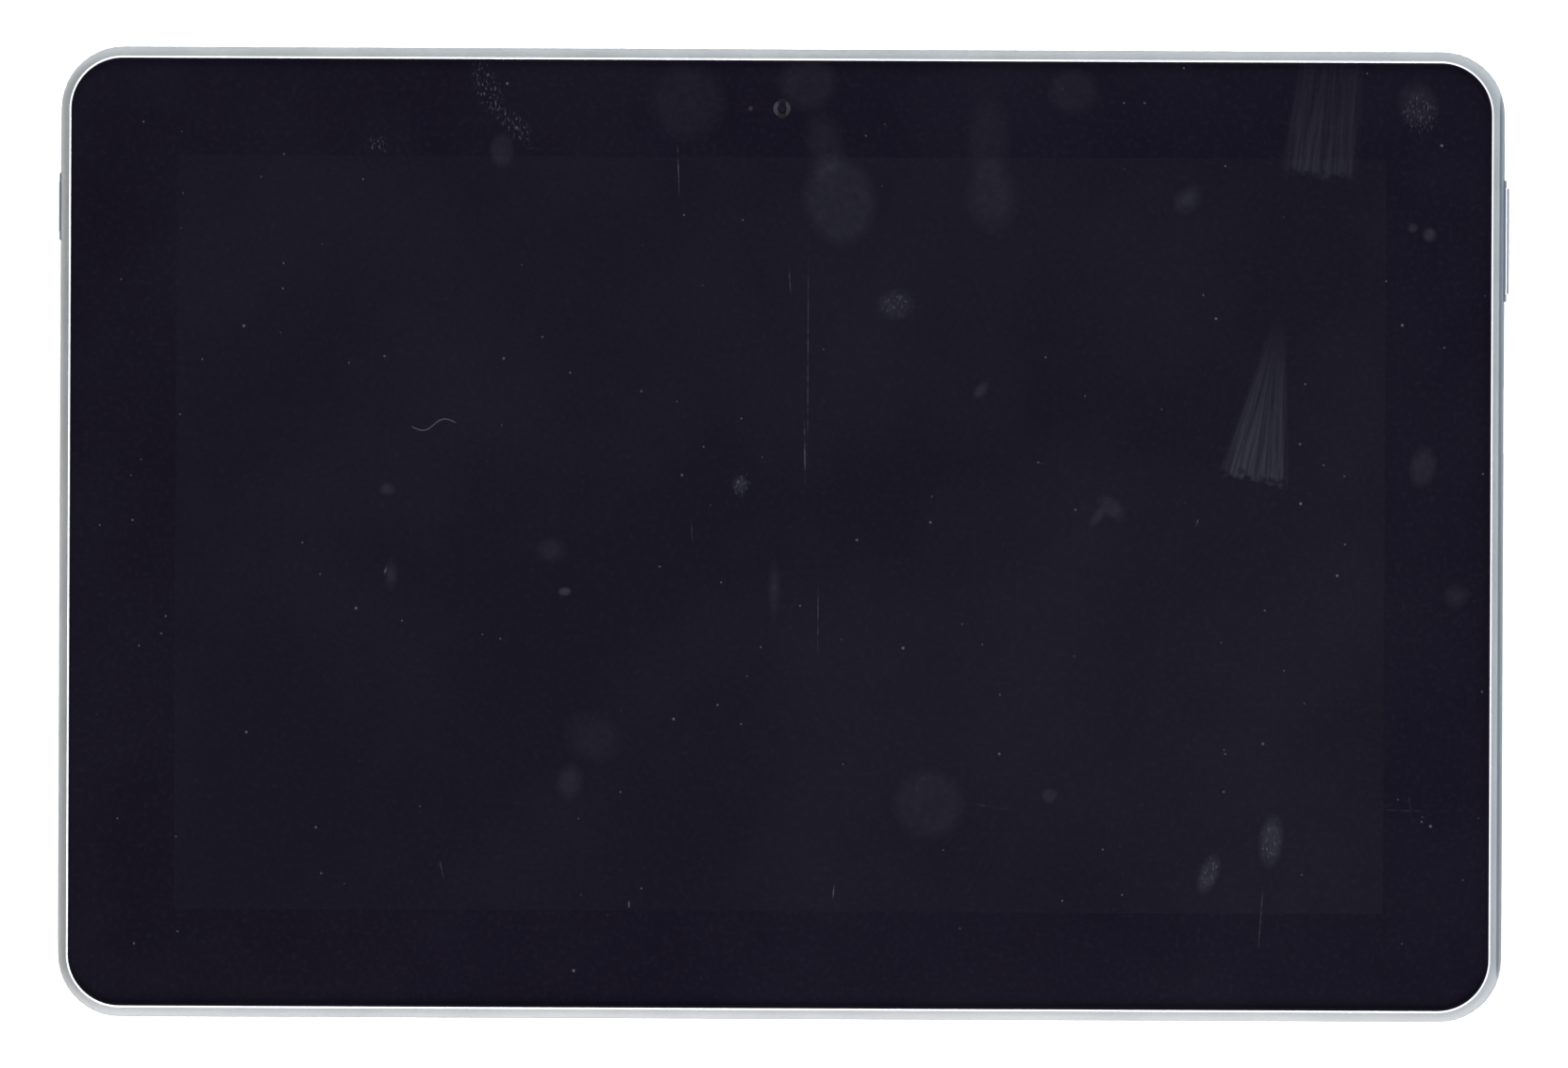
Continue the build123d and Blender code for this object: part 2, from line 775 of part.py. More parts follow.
def card_reader():
    """Sheet-metal memory card reader under the right side board, open towards the edge."""
    out = half_length - side_wall - snug
    low, high = card_y - card_reader_width / 2, card_y + card_reader_width / 2
    reader = block(out - card_reader_length, out, low, high, board_bottom - card_height, board_bottom)
    inside = block(out - card_reader_length + 1.5, out + 1, card_y - card_width / 2,
                   card_y + card_width / 2, board_bottom - card_height + card_wall,
                   board_bottom - card_wall)
    return reader - inside


def switch_at(side, y, inset):
    """Side-acting switch under the edge of a side board, with its face at inset."""
    near, far = sorted((side * (half_length - inset), side * (half_length - inset - switch_depth)))
    return block(near, far, y - switch_length / 2, y + switch_length / 2,
                 board_bottom - switch_height, board_bottom)


def side_switches():
    """One switch for the power key and two for the ends of the rocker."""
    return [switch_at(-1, power_y, power_switch_inset)] + [
        switch_at(1, rocker_y + half * rocker_nub_spacing / 2, rocker_switch_inset) for half in (-1, 1)]


def key_cap(side, y, length, out, flange_inset):
    """Key that fills its slot in the wall, with a flange at both ends behind the wall."""
    outer, inner = half_length + out, half_length - flange_inset - key_flange_depth
    low, high = key_z - key_height / 2, key_z + key_height / 2
    near, far = sorted((side * outer, side * inner))
    cap = block(near, far, y - length / 2, y + length / 2, low, high)
    face = cap.faces().sort_by(Axis.X)[-1 if side > 0 else 0]
    cap = fillet(face.edges(), min(key_round, 0.9 * out))
    near, far = sorted((side * (half_length - flange_inset), side * inner))
    return cap + block(near, far, y - length / 2 - key_flange, y + length / 2 + key_flange, low, high)


def key_nub(side, y, flange_inset):
    """Small post on the back of a key that presses the switch."""
    start = half_length - flange_inset - key_flange_depth
    near, far = sorted((side * (start + 0.2), side * (start - nub_length)))
    return block(near, far, y - nub_width / 2, y + nub_width / 2,
                 switch_z - nub_height / 2, switch_z + nub_height / 2)


def power_button():
    cap = key_cap(-1, power_y, power_key_length, power_key_out, key_flange_out)
    return cap + key_nub(-1, power_y, key_flange_out)


def volume_rocker():
    """Rocker key for the sound, on a hub at its middle."""
    key = key_cap(1, rocker_y, rocker_length, rocker_out, rocker_flange_out)
    for half in (-1, 1):
        key += key_nub(1, rocker_y + half * rocker_nub_spacing / 2, rocker_flange_out)
    hub_x = half_length - rocker_hub_inset
    low, high = key_z - rocker_hub_height / 2, key_z + rocker_hub_height / 2
    key += rod(hub_x, rocker_y, rocker_hub_radius, low, high)
    return key - rod(hub_x, rocker_y, rocker_pin_radius, low - 2, high + 2)


def rocker_pin():
    """Steel pin pressed through the rocker's hub, with its ends in the bracket."""
    reach = key_height / 2 + bracket_play + bracket_sheet
    return rod(half_length - rocker_hub_inset, rocker_y, rocker_pin_radius, key_z - reach, key_z + reach)


def rocker_bracket():
    """Folded bracket on the side board's edge: two ears that carry the rocker's pin."""
    back_inset = rocker_hub_inset + rocker_hub_radius + bracket_play
    ear_inner = key_height / 2 + bracket_play
    low, high = rocker_y - bracket_width / 2, rocker_y + bracket_width / 2
    back = block(side_board_out, half_length - back_inset, low, high,
                 key_z - ear_inner - bracket_sheet, key_z + ear_inner + bracket_sheet)
    front_x = half_length - rocker_hub_inset + rocker_pin_radius + 0.25
    for way in (-1, 1):
        bottom, top = sorted((key_z + way * ear_inner, key_z + way * (ear_inner + bracket_sheet)))
        back += block(side_board_out, front_x, low, high, bottom, top)
    hub_x = half_length - rocker_hub_inset
    return back - rod(hub_x, rocker_y, rocker_pin_radius + rocker_pin_play, key_z - 3, key_z + 3)


# --- Cameras ----------------------------------------------------------------------------

front_body_bottom = plate_top + flex_thickness
front_lens_top = glass_bottom - camera_foam - 0.05
front_barrel_top = front_lens_top - front_lens_height
front_body_top = front_barrel_top - front_barrel_height


def front_camera():
    """Front camera module: a square housing with a round barrel."""
    body = box_at(0, front_camera_y, front_camera_size, front_camera_size,
                  front_body_bottom, front_body_top)
    return body + rod(0, front_camera_y, front_barrel_radius, front_body_top, front_barrel_top)


def camera_lenses():
    """Front elements of the two cameras, just proud of their barrels."""
    rear_top = back_wall + camera_foam
    return [rod(0, front_camera_y, front_lens_radius, front_barrel_top, front_lens_top),
            rod(0, rear_camera_y, rear_lens_radius, rear_top - rear_lens_height, rear_top)]


def front_camera_foam():
    """Foam ring that shuts dust out between the barrel and the glass."""
    outer = rod(0, front_camera_y, front_barrel_radius, front_barrel_top, glass_bottom)
    return outer - rod(0, front_camera_y, front_lens_radius + 0.1, front_barrel_top - 1, glass_bottom + 1)


def light_holder():
    """Rubber holder that lifts the light sensor to the glass."""
    return box_at(-light_sensor_offset, front_camera_y, light_holder_size - 0.6, light_holder_size,
                  plate_top + flex_thickness, glass_bottom - light_sensor_height - camera_foam)


def light_sensor():
    return box_at(-light_sensor_offset, front_camera_y, light_sensor_length, light_sensor_width,
                  glass_bottom - light_sensor_height - camera_foam, glass_bottom - camera_foam)


def rear_camera():
    """Rear camera module: a square housing with its barrel towards the back."""
    barrel_bottom = back_wall + camera_foam
    body_bottom = barrel_bottom + rear_barrel_height
    body = box_at(0, rear_camera_y, rear_camera_size, rear_camera_size, body_bottom, plate_bottom)
    return body + rod(0, rear_camera_y, rear_barrel_radius, barrel_bottom, body_bottom)


def rear_window():
    """Round window in the back, seated on the cover's land."""
    return rod(0, rear_camera_y, rear_window_radius, rear_ring_depth - rear_window_thickness,
               rear_ring_depth)


def rear_ring():
    """Trim ring round the window, flush with the back."""
    outer = rod(0, rear_camera_y, rear_ring_radius, 0, rear_ring_depth)
    return outer - rod(0, rear_camera_y, rear_window_radius + camera_play, -1, rear_ring_depth + 1)


# --- Speakers ---------------------------------------------------------------------------

mesh_top = back_wall + mesh_thickness
speaker_bottom = mesh_top + speaker_gasket_thickness
speaker_top = plate_bottom - snug


def speaker(side):
    """Closed speaker box with its mouth towards the back."""
    x = side * speaker_x
    box = box_at(x, speaker_y, speaker_width, speaker_length, speaker_bottom, speaker_top)
    box = fillet(box.edges().filter_by(Axis.Z), speaker_corner)
    return box - box_at(x, speaker_y, cone_width, cone_length, speaker_bottom - 1,
                        speaker_bottom + mouth_depth)


def speaker_membranes():
    """The moving membranes, in the mouths of the two boxes."""
    return [box_at(side * speaker_x, speaker_y, cone_width - 2 * cone_play, cone_length - 2 * cone_play,
                   speaker_bottom + cone_recess, speaker_bottom + mouth_depth) for side in (-1, 1)]


def speaker_gaskets():
    """Foam rings that seal each speaker to the back."""
    return [frame_band(side * speaker_x - cone_width / 2 - speaker_gasket_width,
                       side * speaker_x + cone_width / 2 + speaker_gasket_width,
                       speaker_y - cone_length / 2 - speaker_gasket_width,
                       speaker_y + cone_length / 2 + speaker_gasket_width,
                       speaker_gasket_width, mesh_top, speaker_bottom) for side in (-1, 1)]


def speaker_meshes():
    """Fine mesh behind the sound holes."""
    length = (grille_rows - 1) * grille_pitch + 3.2
    width = (grille_columns - 1) * grille_pitch + 3.2
    return [box_at(side * speaker_x, speaker_y, width + 5.0, length, back_wall, mesh_top)
            for side in (-1, 1)]


# --- Antennas ---------------------------------------------------------------------------

def antenna(side):
    """Wireless antenna on its carrier, under the upper edge of the chassis."""
    return box_at(side * antenna_x, half_width - antenna_from_top, antenna_length, antenna_width,
                  plate_bottom - antenna_height, plate_bottom)


def coax_start(side):
    """Where a cable leaves its plug on the main board."""
    return module_x + module_size / 2 + coax_from_module + (coax_spacing if side > 0 else 0), module_y + 2


def coax_plugs():
    plugs = []
    for side in (-1, 1):
        x, y = coax_start(side)
        plugs.append(box_at(x, y - coax_plug_size / 2, coax_plug_size, coax_plug_size,
                            board_bottom - 2 * coax_radius, board_bottom))
    return plugs


def antenna_cable(side):
    """Thin coaxial cable from its plug, past the board's upper edge, to the end of the antenna."""
    x, y = coax_start(side)
    end = side * (antenna_x - antenna_length / 2)
    bend = min(coax_bend, 0.8 * abs(end - x))
    path = FilletPolyline((x, y, coax_z), (x, coax_y, coax_z), (end, coax_y, coax_z), radius=bend)
    return sweep(Plane(origin=(x, y, coax_z), z_dir=(0, 1, 0)) * Circle(coax_radius), path=path)


# --- Screws -----------------------------------------------------------------------------

def screw(x, y, seat, tip):
    """Flat-headed screw with its head below seat and its shank up to tip."""
    head = rod(x, y, screw_head_radius, seat - screw_head_height, seat)
    return head + rod(x, y, screw_radius, seat, tip)


def board_screws():
    return [screw(x, y, board_bottom, plate_top - screw_tip_gap) for x, y in board_screw_places()]


def chassis_screws():
    return [screw(x, y, plate_bottom, ledge_bottom + chassis_screw_depth - screw_tip_gap)
            for x, y in chassis_screw_places()]


nodes = {
    "rear_cover": rear_cover(),
    "front_frame": front_frame(),
    "mid_frame": mid_frame(),
    "cover_glass": cover_glass(),
    "glass_adhesive": glass_adhesive(),
    "touch_sensor": touch_sensor(),
    "dust_gaskets": [lcd_gasket(), front_camera_foam()],
    "polarisers": polarisers(),
    "colour_filter_pane": colour_filter_pane(),
    "tft_pane": tft_pane(),
    "driver_chip": driver_chip(),
    "optical_films": optical_films(),
    "light_guide": light_guide(),
    "reflector_sheet": reflector_sheet(),
    "light_bar": light_bar(),
    "backlight_tray": backlight_tray(),
    "battery_cell_left": battery_cell(-1),
    "battery_cell_right": battery_cell(1),
    "battery_tape": battery_tape(),
    "battery_board": battery_board(),
    "battery_lead": battery_lead(),
    "main_board": main_board(),
    **{name: chips_named(name) for name in chips},
    "shield_cans": shield_cans(),
    "board_connectors": board_connectors(),
    "display_flex": display_flex(),
    "touch_flex": touch_flex(),
    "camera_flex": camera_flex(),
    "port_flex": port_flex(),
    "side_flexes": [side_flex(-1), side_flex(1)],
    "audio_board": audio_board(),
    "headphone_jack": headphone_jack(),
    "side_switches": side_switches(),
    "power_button": power_button(),
    "side_board": side_board(1),
    "card_reader": card_reader(),
    "volume_rocker": volume_rocker(),
    "rocker_pin": rocker_pin(),
    "rocker_bracket": rocker_bracket(),
    "port_board": port_board(),
    "usb_shell": usb_shell(),
    "usb_tongue": usb_tongue(),
    "microphone": microphone(),
    "front_camera": front_camera(),
    "camera_lenses": camera_lenses(),
    "light_sensor": [light_holder(), light_sensor()],
    "rear_camera": rear_camera(),
    "rear_window": rear_window(),
    "rear_ring": rear_ring(),
    "speakers": [speaker(-1), speaker(1)],
    "speaker_membranes": speaker_membranes(),
    "speaker_gaskets": speaker_gaskets(),
    "speaker_meshes": speaker_meshes(),
    "antennas": [antenna(-1), antenna(1)],
    "antenna_cables": [antenna_cable(-1), antenna_cable(1)] + coax_plugs(),
    "board_screws": board_screws(),
    "chassis_screws": chassis_screws(),
}

for name, shape in nodes.items():
    solids = shape if isinstance(shape, list) else [shape]
    whole = solids[0] if len(solids) == 1 else Compound(children=solids)
    export_step(whole, f"parts/{name}.step")
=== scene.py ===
# %% [markdown]
# # A tablet computer, lying on its back
#
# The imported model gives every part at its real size, in metres, with the screen facing up.
# Here each part gets its finish, and the parts that the eye rests on are remade in finer detail:
# the cover glass with its printed border, the camera lenses, the trim ring and the socket contacts.
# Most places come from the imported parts' own boxes. The few that don't are named in millimetres.

# %% Load the model
import math

import bmesh
import bpy
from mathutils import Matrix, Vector


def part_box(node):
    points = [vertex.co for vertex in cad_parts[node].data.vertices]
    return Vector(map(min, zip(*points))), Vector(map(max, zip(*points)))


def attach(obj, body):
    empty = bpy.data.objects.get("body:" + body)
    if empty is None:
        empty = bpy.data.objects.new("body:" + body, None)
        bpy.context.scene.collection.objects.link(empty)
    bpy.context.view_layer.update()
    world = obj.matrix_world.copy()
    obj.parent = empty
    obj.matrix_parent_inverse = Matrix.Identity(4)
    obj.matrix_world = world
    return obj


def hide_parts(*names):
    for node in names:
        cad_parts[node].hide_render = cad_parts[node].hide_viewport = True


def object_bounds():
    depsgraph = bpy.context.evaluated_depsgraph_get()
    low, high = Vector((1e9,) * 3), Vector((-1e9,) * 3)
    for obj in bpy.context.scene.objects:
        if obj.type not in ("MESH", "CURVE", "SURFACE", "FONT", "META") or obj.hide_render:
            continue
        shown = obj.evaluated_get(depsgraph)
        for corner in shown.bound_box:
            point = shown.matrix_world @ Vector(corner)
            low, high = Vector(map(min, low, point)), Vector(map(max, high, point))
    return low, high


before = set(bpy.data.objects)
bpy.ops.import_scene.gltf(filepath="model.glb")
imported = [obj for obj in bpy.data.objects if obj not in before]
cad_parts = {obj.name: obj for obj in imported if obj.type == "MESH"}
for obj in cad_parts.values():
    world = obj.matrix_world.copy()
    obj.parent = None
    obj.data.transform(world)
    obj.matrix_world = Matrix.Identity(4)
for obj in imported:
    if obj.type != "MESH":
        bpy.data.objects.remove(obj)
cad_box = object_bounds()
MM = 0.001
print("packed size in mm:", [round((high - low) / MM, 2) for low, high in zip(*cad_box)])

# %% [markdown]
# ## Places that everything else is measured from
#
# A real tablet is built up from its glass, so the glass, the rim and the keys give the places
# of all the finer pieces.

# %% Read the places
glass_low, glass_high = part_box("cover_glass")
rim_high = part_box("front_frame")[1]
back_low, back_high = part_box("rear_cover")
camera_low, camera_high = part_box("front_camera")
ring_low, ring_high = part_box("rear_ring")
window_low, window_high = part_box("rear_window")
tongue_low, tongue_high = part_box("usb_tongue")

glass_length = glass_high[0] - glass_low[0]
glass_width = glass_high[1] - glass_low[1]
GLASS_CORNER = 9.2 * MM
SCREEN_LENGTH = 217.1 * MM
SCREEN_WIDTH = 135.4 * MM
front_camera_y = (camera_low[1] + camera_high[1]) / 2
rear_camera_y = (ring_low[1] + ring_high[1]) / 2
print("glass in mm:", round(glass_length / MM, 2), "by", round(glass_width / MM, 2))

# %% [markdown]
# ## The camera
#
# A flat thing seen square-on from far away shows no perspective, so an orthographic camera fits.
# It leans a few degrees to the right of straight down, which shows a little more of the right-hand
# wall than of the left, and it is rolled by a quarter of a degree.

# %% Camera
VIEW_WIDTH = 281.0 * MM
VIEW_LEAN = math.radians(3.4)
VIEW_ROLL = math.radians(0.25)
VIEW_SIDE = 0.74 * MM
VIEW_UP = 0.38 * MM
VIEW_DISTANCE = 1.2

aim = Vector((VIEW_SIDE, VIEW_UP, glass_high[2]))
towards = Vector((math.sin(VIEW_LEAN), 0, math.cos(VIEW_LEAN)))
bpy.ops.object.camera_add(location=aim + towards * VIEW_DISTANCE)
camera = bpy.context.object
camera.name = "camera"
camera.rotation_euler = (0, VIEW_LEAN, VIEW_ROLL)
camera.data.type = "ORTHO"
camera.data.ortho_scale = VIEW_WIDTH
camera.data.clip_end = 20
bpy.context.scene.camera = camera
bpy.context.scene.view_settings.view_transform = "Standard"
print("view is", round(VIEW_WIDTH / MM, 1), "mm wide")

# %% [markdown]
# ## The light
#
# A dark glass sheet is a mirror, so what matters most is what hangs above it. The sky overhead is
# kept dark, and a bright band lies along the horizon for the polished bevel to mirror. Most of the
# light comes from four soft panels around the table. They are left out of all reflections, so that
# none of them shows up as a pale patch in the glass.

# %% Sky and light panels
ZENITH = (0.032, 0.028, 0.045, 1)
LOW_SKY = (0.40, 0.41, 0.44, 1)
HORIZON = (1.6, 1.6, 1.65, 1)
HORIZON_END = 0.03
LOW_SKY_AT = 0.15
ZENITH_START = 0.60
SKY_STRENGTH = 1.1
PANEL_SIZE = (0.9, 0.5)
PANEL_REACH = 1.05
PANEL_HEIGHT = 0.50

world = bpy.data.worlds.new("studio")
bpy.context.scene.world = world
world.use_nodes = True
sky = world.node_tree
direction = sky.nodes.new("ShaderNodeTexCoord")
axes = sky.nodes.new("ShaderNodeSeparateXYZ")
ramp = sky.nodes.new("ShaderNodeValToRGB")
sky.links.new(direction.outputs["Generated"], axes.inputs[0])
sky.links.new(axes.outputs["Z"], ramp.inputs["Fac"])
ramp.color_ramp.elements[0].position = HORIZON_END
ramp.color_ramp.elements[0].color = HORIZON
ramp.color_ramp.elements[1].position = ZENITH_START
ramp.color_ramp.elements[1].color = ZENITH
ramp.color_ramp.elements.new(LOW_SKY_AT).color = LOW_SKY
sky.links.new(ramp.outputs["Color"], sky.nodes["Background"].inputs["Color"])
sky.nodes["Background"].inputs["Strength"].default_value = SKY_STRENGTH


def light_panel(name, x, y, watts, colour):
    """A soft rectangular lamp that faces the tablet and isn't mirrored by it."""
    place = (x, y, PANEL_HEIGHT)
    bpy.ops.object.light_add(type="AREA", location=place)
    lamp = bpy.context.object
    lamp.name = name
    lamp.data.shape = "RECTANGLE"
    lamp.data.size, lamp.data.size_y = PANEL_SIZE
    lamp.data.energy = watts
    lamp.data.color = colour
    lamp.rotation_euler = (-Vector(place)).to_track_quat("-Z", "Y").to_euler()
    lamp.visible_glossy = False
    print(name, watts, "W")


light_panel("panel_left", -PANEL_REACH, 0.0, 1.5, (1.0, 0.98, 0.93))
light_panel("panel_right", PANEL_REACH, 0.0, 16.0, (0.72, 0.86, 1.0))
light_panel("panel_far", 0.0, PANEL_REACH, 33.0, (0.94, 0.98, 1.0))
light_panel("panel_near", 0.0, -PANEL_REACH, 45.0, (1.0, 0.99, 1.0))

# %% [markdown]
# ## Helpers for finishes
#
# A finish is a small network of nodes. `node` adds one node, sets its plain values and links
# whatever is given as a socket, which keeps each finish below short enough to read as a recipe.


# %% Node helpers
def node(tree, kind, inputs=None, **settings):
    """Add a node, set its settings, and fill its inputs with values or with other nodes' outputs."""
    made = tree.nodes.new(kind)
    for setting, value in settings.items():
        setattr(made, setting, value)
    for key, value in (inputs or {}).items():
        if isinstance(value, bpy.types.NodeSocket):
            tree.links.new(value, made.inputs[key])
        else:
            made.inputs[key].default_value = value
    return made


def maths(tree, operation, first, second=0.0, clamp=False):
    """One step of arithmetic on two numbers or sockets."""
    return node(tree, "ShaderNodeMath", {0: first, 1: second}, operation=operation,
                use_clamp=clamp).outputs[0]


def blank(name):
    """A new material: its tree, its main shader and the object's own coordinates in metres."""
    material = bpy.data.materials.new(name)
    material.use_nodes = True
    tree = material.node_tree
    place = node(tree, "ShaderNodeTexCoord").outputs["Object"]
    return material, tree, tree.nodes["Principled BSDF"], place


def noise(tree, place, grain_mm, detail=3.0, stretch=(1, 1, 1), roughness=0.55):
    """Cloudy noise with a grain of the given size in millimetres, longer along a stretched axis."""
    scaled = node(tree, "ShaderNodeMapping", {"Vector": place, "Scale": [1 / s for s in stretch]})
    return node(tree, "ShaderNodeTexNoise", {"Vector": scaled.outputs[0], "Scale": 1 / (grain_mm * MM),
                                             "Detail": detail, "Roughness": roughness}).outputs["Fac"]


def spread(tree, value, low, high, from_low=0.3, from_high=0.7):
    """Turn a 0 to 1 noise into a value between low and high."""
    return node(tree, "ShaderNodeMapRange", {"Value": value, "From Min": from_low, "From Max": from_high,
                                             "To Min": low, "To Max": high}).outputs[0]


def two_tone(tree, value, dark, light, low=0.3, high=0.7):
    """Blend two colours by a noise."""
    ramp = node(tree, "ShaderNodeValToRGB", {"Fac": value})
    first, last = ramp.color_ramp.elements
    first.position, last.position = low, high
    first.color, last.color = (*dark, 1), (*light, 1)
    return ramp.outputs["Color"]


def blend(tree, share, under, over):
    """Mix two colours: the first where share is 0, the second where it is 1."""
    return node(tree, "ShaderNodeMix", {0: share, 6: under, 7: over}, data_type="RGBA").outputs[2]


def bump(tree, height, strength, depth_mm, under=None):
    """Raise the surface by a height pattern, on top of another bump if one is given."""
    inputs = {"Height": height, "Strength": strength, "Distance": depth_mm * MM}
    if under is not None:
        inputs["Normal"] = under
    return node(tree, "ShaderNodeBump", inputs).outputs[0]


def shade(shader, values):
    """Set plain values on the main shader, or link the ones that come from nodes."""
    tree = shader.id_data
    for key, value in values.items():
        if isinstance(value, bpy.types.NodeSocket):
            tree.links.new(value, shader.inputs[key])
        else:
            shader.inputs[key].default_value = value


def finish(name, dark, light, rough, metal=0.0, tone_mm=8.0, grain_mm=0.25, depth_mm=0.01,
           stretch=(1, 1, 1), strength=0.3, extra=None):
    """The common recipe: two close tones in slow clouds, a fine grain in the bump and in the gloss."""
    material, tree, shader, place = blank(name)
    tone = noise(tree, place, tone_mm, 4.0)
    grain = noise(tree, place, grain_mm, 3.0, stretch)
    shade(shader, {"Base Color": two_tone(tree, tone, dark, light), "Metallic": metal,
                   "Roughness": spread(tree, grain, *rough),
                   "Normal": bump(tree, grain, strength, depth_mm)})
    shade(shader, extra or {})
    return material


# %% [markdown]
# ## Finishes of the casing
#
# The back is a moulded shell with a fine, almost invisible texture that keeps it from slipping.
# The rim is painted silver over metal, and only the narrow bevel next to the glass is cut bright,
# so one material holds both: it switches from satin to polished by height.

# %% Back cover
back_plastic = finish("moulded back", (0.046, 0.050, 0.060), (0.058, 0.063, 0.075), (0.42, 0.55),
                      tone_mm=30, grain_mm=0.16, depth_mm=0.012, strength=0.35)


# %% Silver rim
POLISHED_HEIGHT = 0.27 * MM
# Painted shade: where it starts and where it is full on the right-hand outer edge, and the heights over
# which it grows towards the seam.
RIGHT_SHADE_START = 0.12 * MM
RIGHT_SHADE_FULL = 0.06 * MM
SEAM_SHADE_HEIGHTS = (7.2 * MM, 8.3 * MM)


def silver_rim():
    """Satin silver paint with fine flakes, a polished bevel above, and painted shade along the right-hand
    outer edge and down towards the seam.
    """
    material, tree, shader, place = blank("silver rim")
    parts = node(tree, "ShaderNodeSeparateXYZ", {0: place})
    polished = maths(tree, "GREATER_THAN", parts.outputs["Z"], rim_high[2] - POLISHED_HEIGHT)
    flakes = noise(tree, place, 0.10, 2.0)
    clouds = noise(tree, place, 14.0, 3.0)
    paint = two_tone(tree, clouds, (0.130, 0.134, 0.134), (0.155, 0.159, 0.160))
    # Painted shade: the paint turns blue-black along the right-hand outer edge, and a little darker down
    # towards the seam with the back shell.
    right_edge_shade = spread(tree, parts.outputs["X"], 0.0, 0.95, rim_high[0] - RIGHT_SHADE_START,
                  rim_high[0] + RIGHT_SHADE_FULL)
    seam = spread(tree, parts.outputs["Z"], 0.22, 0.0, *SEAM_SHADE_HEIGHTS)
    painted_shade = maths(tree, "MAXIMUM", right_edge_shade, seam)
    paint = blend(tree, painted_shade, paint, (0.014, 0.022, 0.032, 1))
    colour = blend(tree, polished, paint, (0.80, 0.80, 0.82, 1))
    satin = spread(tree, flakes, 0.32, 0.46)
    gloss = node(tree, "ShaderNodeMix", {0: polished, 2: satin, 3: 0.12}, data_type="FLOAT").outputs[0]
    shade(shader, {"Base Color": colour, "Metallic": spread(tree, polished, 0.10, 0.95, 0.0, 1.0),
                   "Roughness": gloss, "Specular IOR Level": 0.22,
                   "Normal": bump(tree, flakes, 0.12, 0.004)})
    return material


rim_metal = silver_rim()


# %% Side keys
KEY_HEIGHT = 2.4 * MM
KEY_MIDDLE = 4.0 * MM
KEY_WALL = 129.5 * MM
POWER_OUT = 0.45 * MM
VOLUME_OUT = 0.80 * MM
POWER_LENGTH = 9.5 * MM
VOLUME_LENGTH = 19.2 * MM
KEY_EDGE = 0.30 * MM
# Painted highlight: how far in from the key's outer face the pale band starts and ends.
KEY_HIGHLIGHT_DEPTHS = (0.30 * MM, 0.47 * MM)


def key_metal(name, out):
    """Satin key with fine lines along it, and a thin painted highlight along its upper edge."""
    material, tree, shader, place = blank(name)
    parts = node(tree, "ShaderNodeSeparateXYZ", {0: place})
    depth = maths(tree, "SUBTRACT", KEY_WALL + out, maths(tree, "ABSOLUTE", parts.outputs["X"]))
    # Painted highlight: a pale band a set depth in from the key's outer face, on its upper half, in place of
    # the light on the rounded upper edge.
    past = maths(tree, "GREATER_THAN", depth, KEY_HIGHLIGHT_DEPTHS[0])
    before = maths(tree, "LESS_THAN", depth, KEY_HIGHLIGHT_DEPTHS[1])
    top = maths(tree, "GREATER_THAN", parts.outputs["Z"], KEY_MIDDLE)
    painted_highlight = maths(tree, "MULTIPLY", maths(tree, "MULTIPLY", past, before), top)
    lines = noise(tree, place, 0.05, 3.0, (1, 60, 1))
    satin = two_tone(tree, lines, (0.085, 0.090, 0.100), (0.130, 0.136, 0.146))
    colour = blend(tree, painted_highlight, satin, (0.90, 0.90, 0.91, 1))
    shade(shader, {"Base Color": colour, "Metallic": 0.15,
                   "Roughness": spread(tree, lines, 0.30, 0.45),
                   "Normal": bump(tree, lines, 0.12, 0.004)})
    return material


# %% [markdown]
# ## Helpers for modelling
#
# Each finer piece starts as a primitive and is shaped in edit mode, the way it is done by hand.
# Faces and edges are picked in code by where they are. At the end the object's place is applied,
# so that the object sits at the origin and its place is in its mesh.


# %% Modelling helpers
def add_primitive(adder, name, **settings):
    """Add a primitive with nothing else selected, and name it."""
    bpy.ops.object.select_all(action="DESELECT")
    adder(**settings)
    made = bpy.context.object
    made.name = name
    return made


def edit(piece, mode="FACE"):
    """Go into edit mode with nothing selected."""
    bpy.context.view_layer.objects.active = piece
    bpy.ops.object.mode_set(mode="EDIT")
    bpy.ops.mesh.select_mode(type=mode)
    bpy.ops.mesh.select_all(action="DESELECT")


def pick(piece, test, kind="faces"):
    """Select the faces, edges or vertices that pass a test, and return how many there are."""
    mesh = bmesh.from_edit_mesh(piece.data)
    picked = 0
    for item in getattr(mesh, kind):
        if test(item):
            item.select_set(True)
            picked += 1
    mesh.select_flush_mode()
    bmesh.update_edit_mesh(piece.data)
    return picked


def middle(item):
    """The middle of a face or an edge."""
    corners = item.verts
    return sum((v.co for v in corners), Vector()) / len(corners)


def done(piece, smooth_angle=35):
    """Leave edit mode, put the piece's place into its mesh, and smooth its gentle edges."""
    bpy.ops.object.mode_set(mode="OBJECT")
    bpy.ops.object.select_all(action="DESELECT")
    piece.select_set(True)
    bpy.context.view_layer.objects.active = piece
    bpy.ops.object.transform_apply(location=True, rotation=True, scale=True)
    bpy.ops.object.mode_set(mode="EDIT")
    bpy.ops.mesh.select_all(action="SELECT")
    bpy.ops.mesh.remove_doubles(threshold=0.0000005)
    bpy.ops.mesh.normals_make_consistent(inside=False)
    bpy.ops.object.mode_set(mode="OBJECT")
    bpy.ops.object.shade_smooth_by_angle(angle=math.radians(smooth_angle))
    print(piece.name, len(piece.data.polygons), "faces")
    return piece


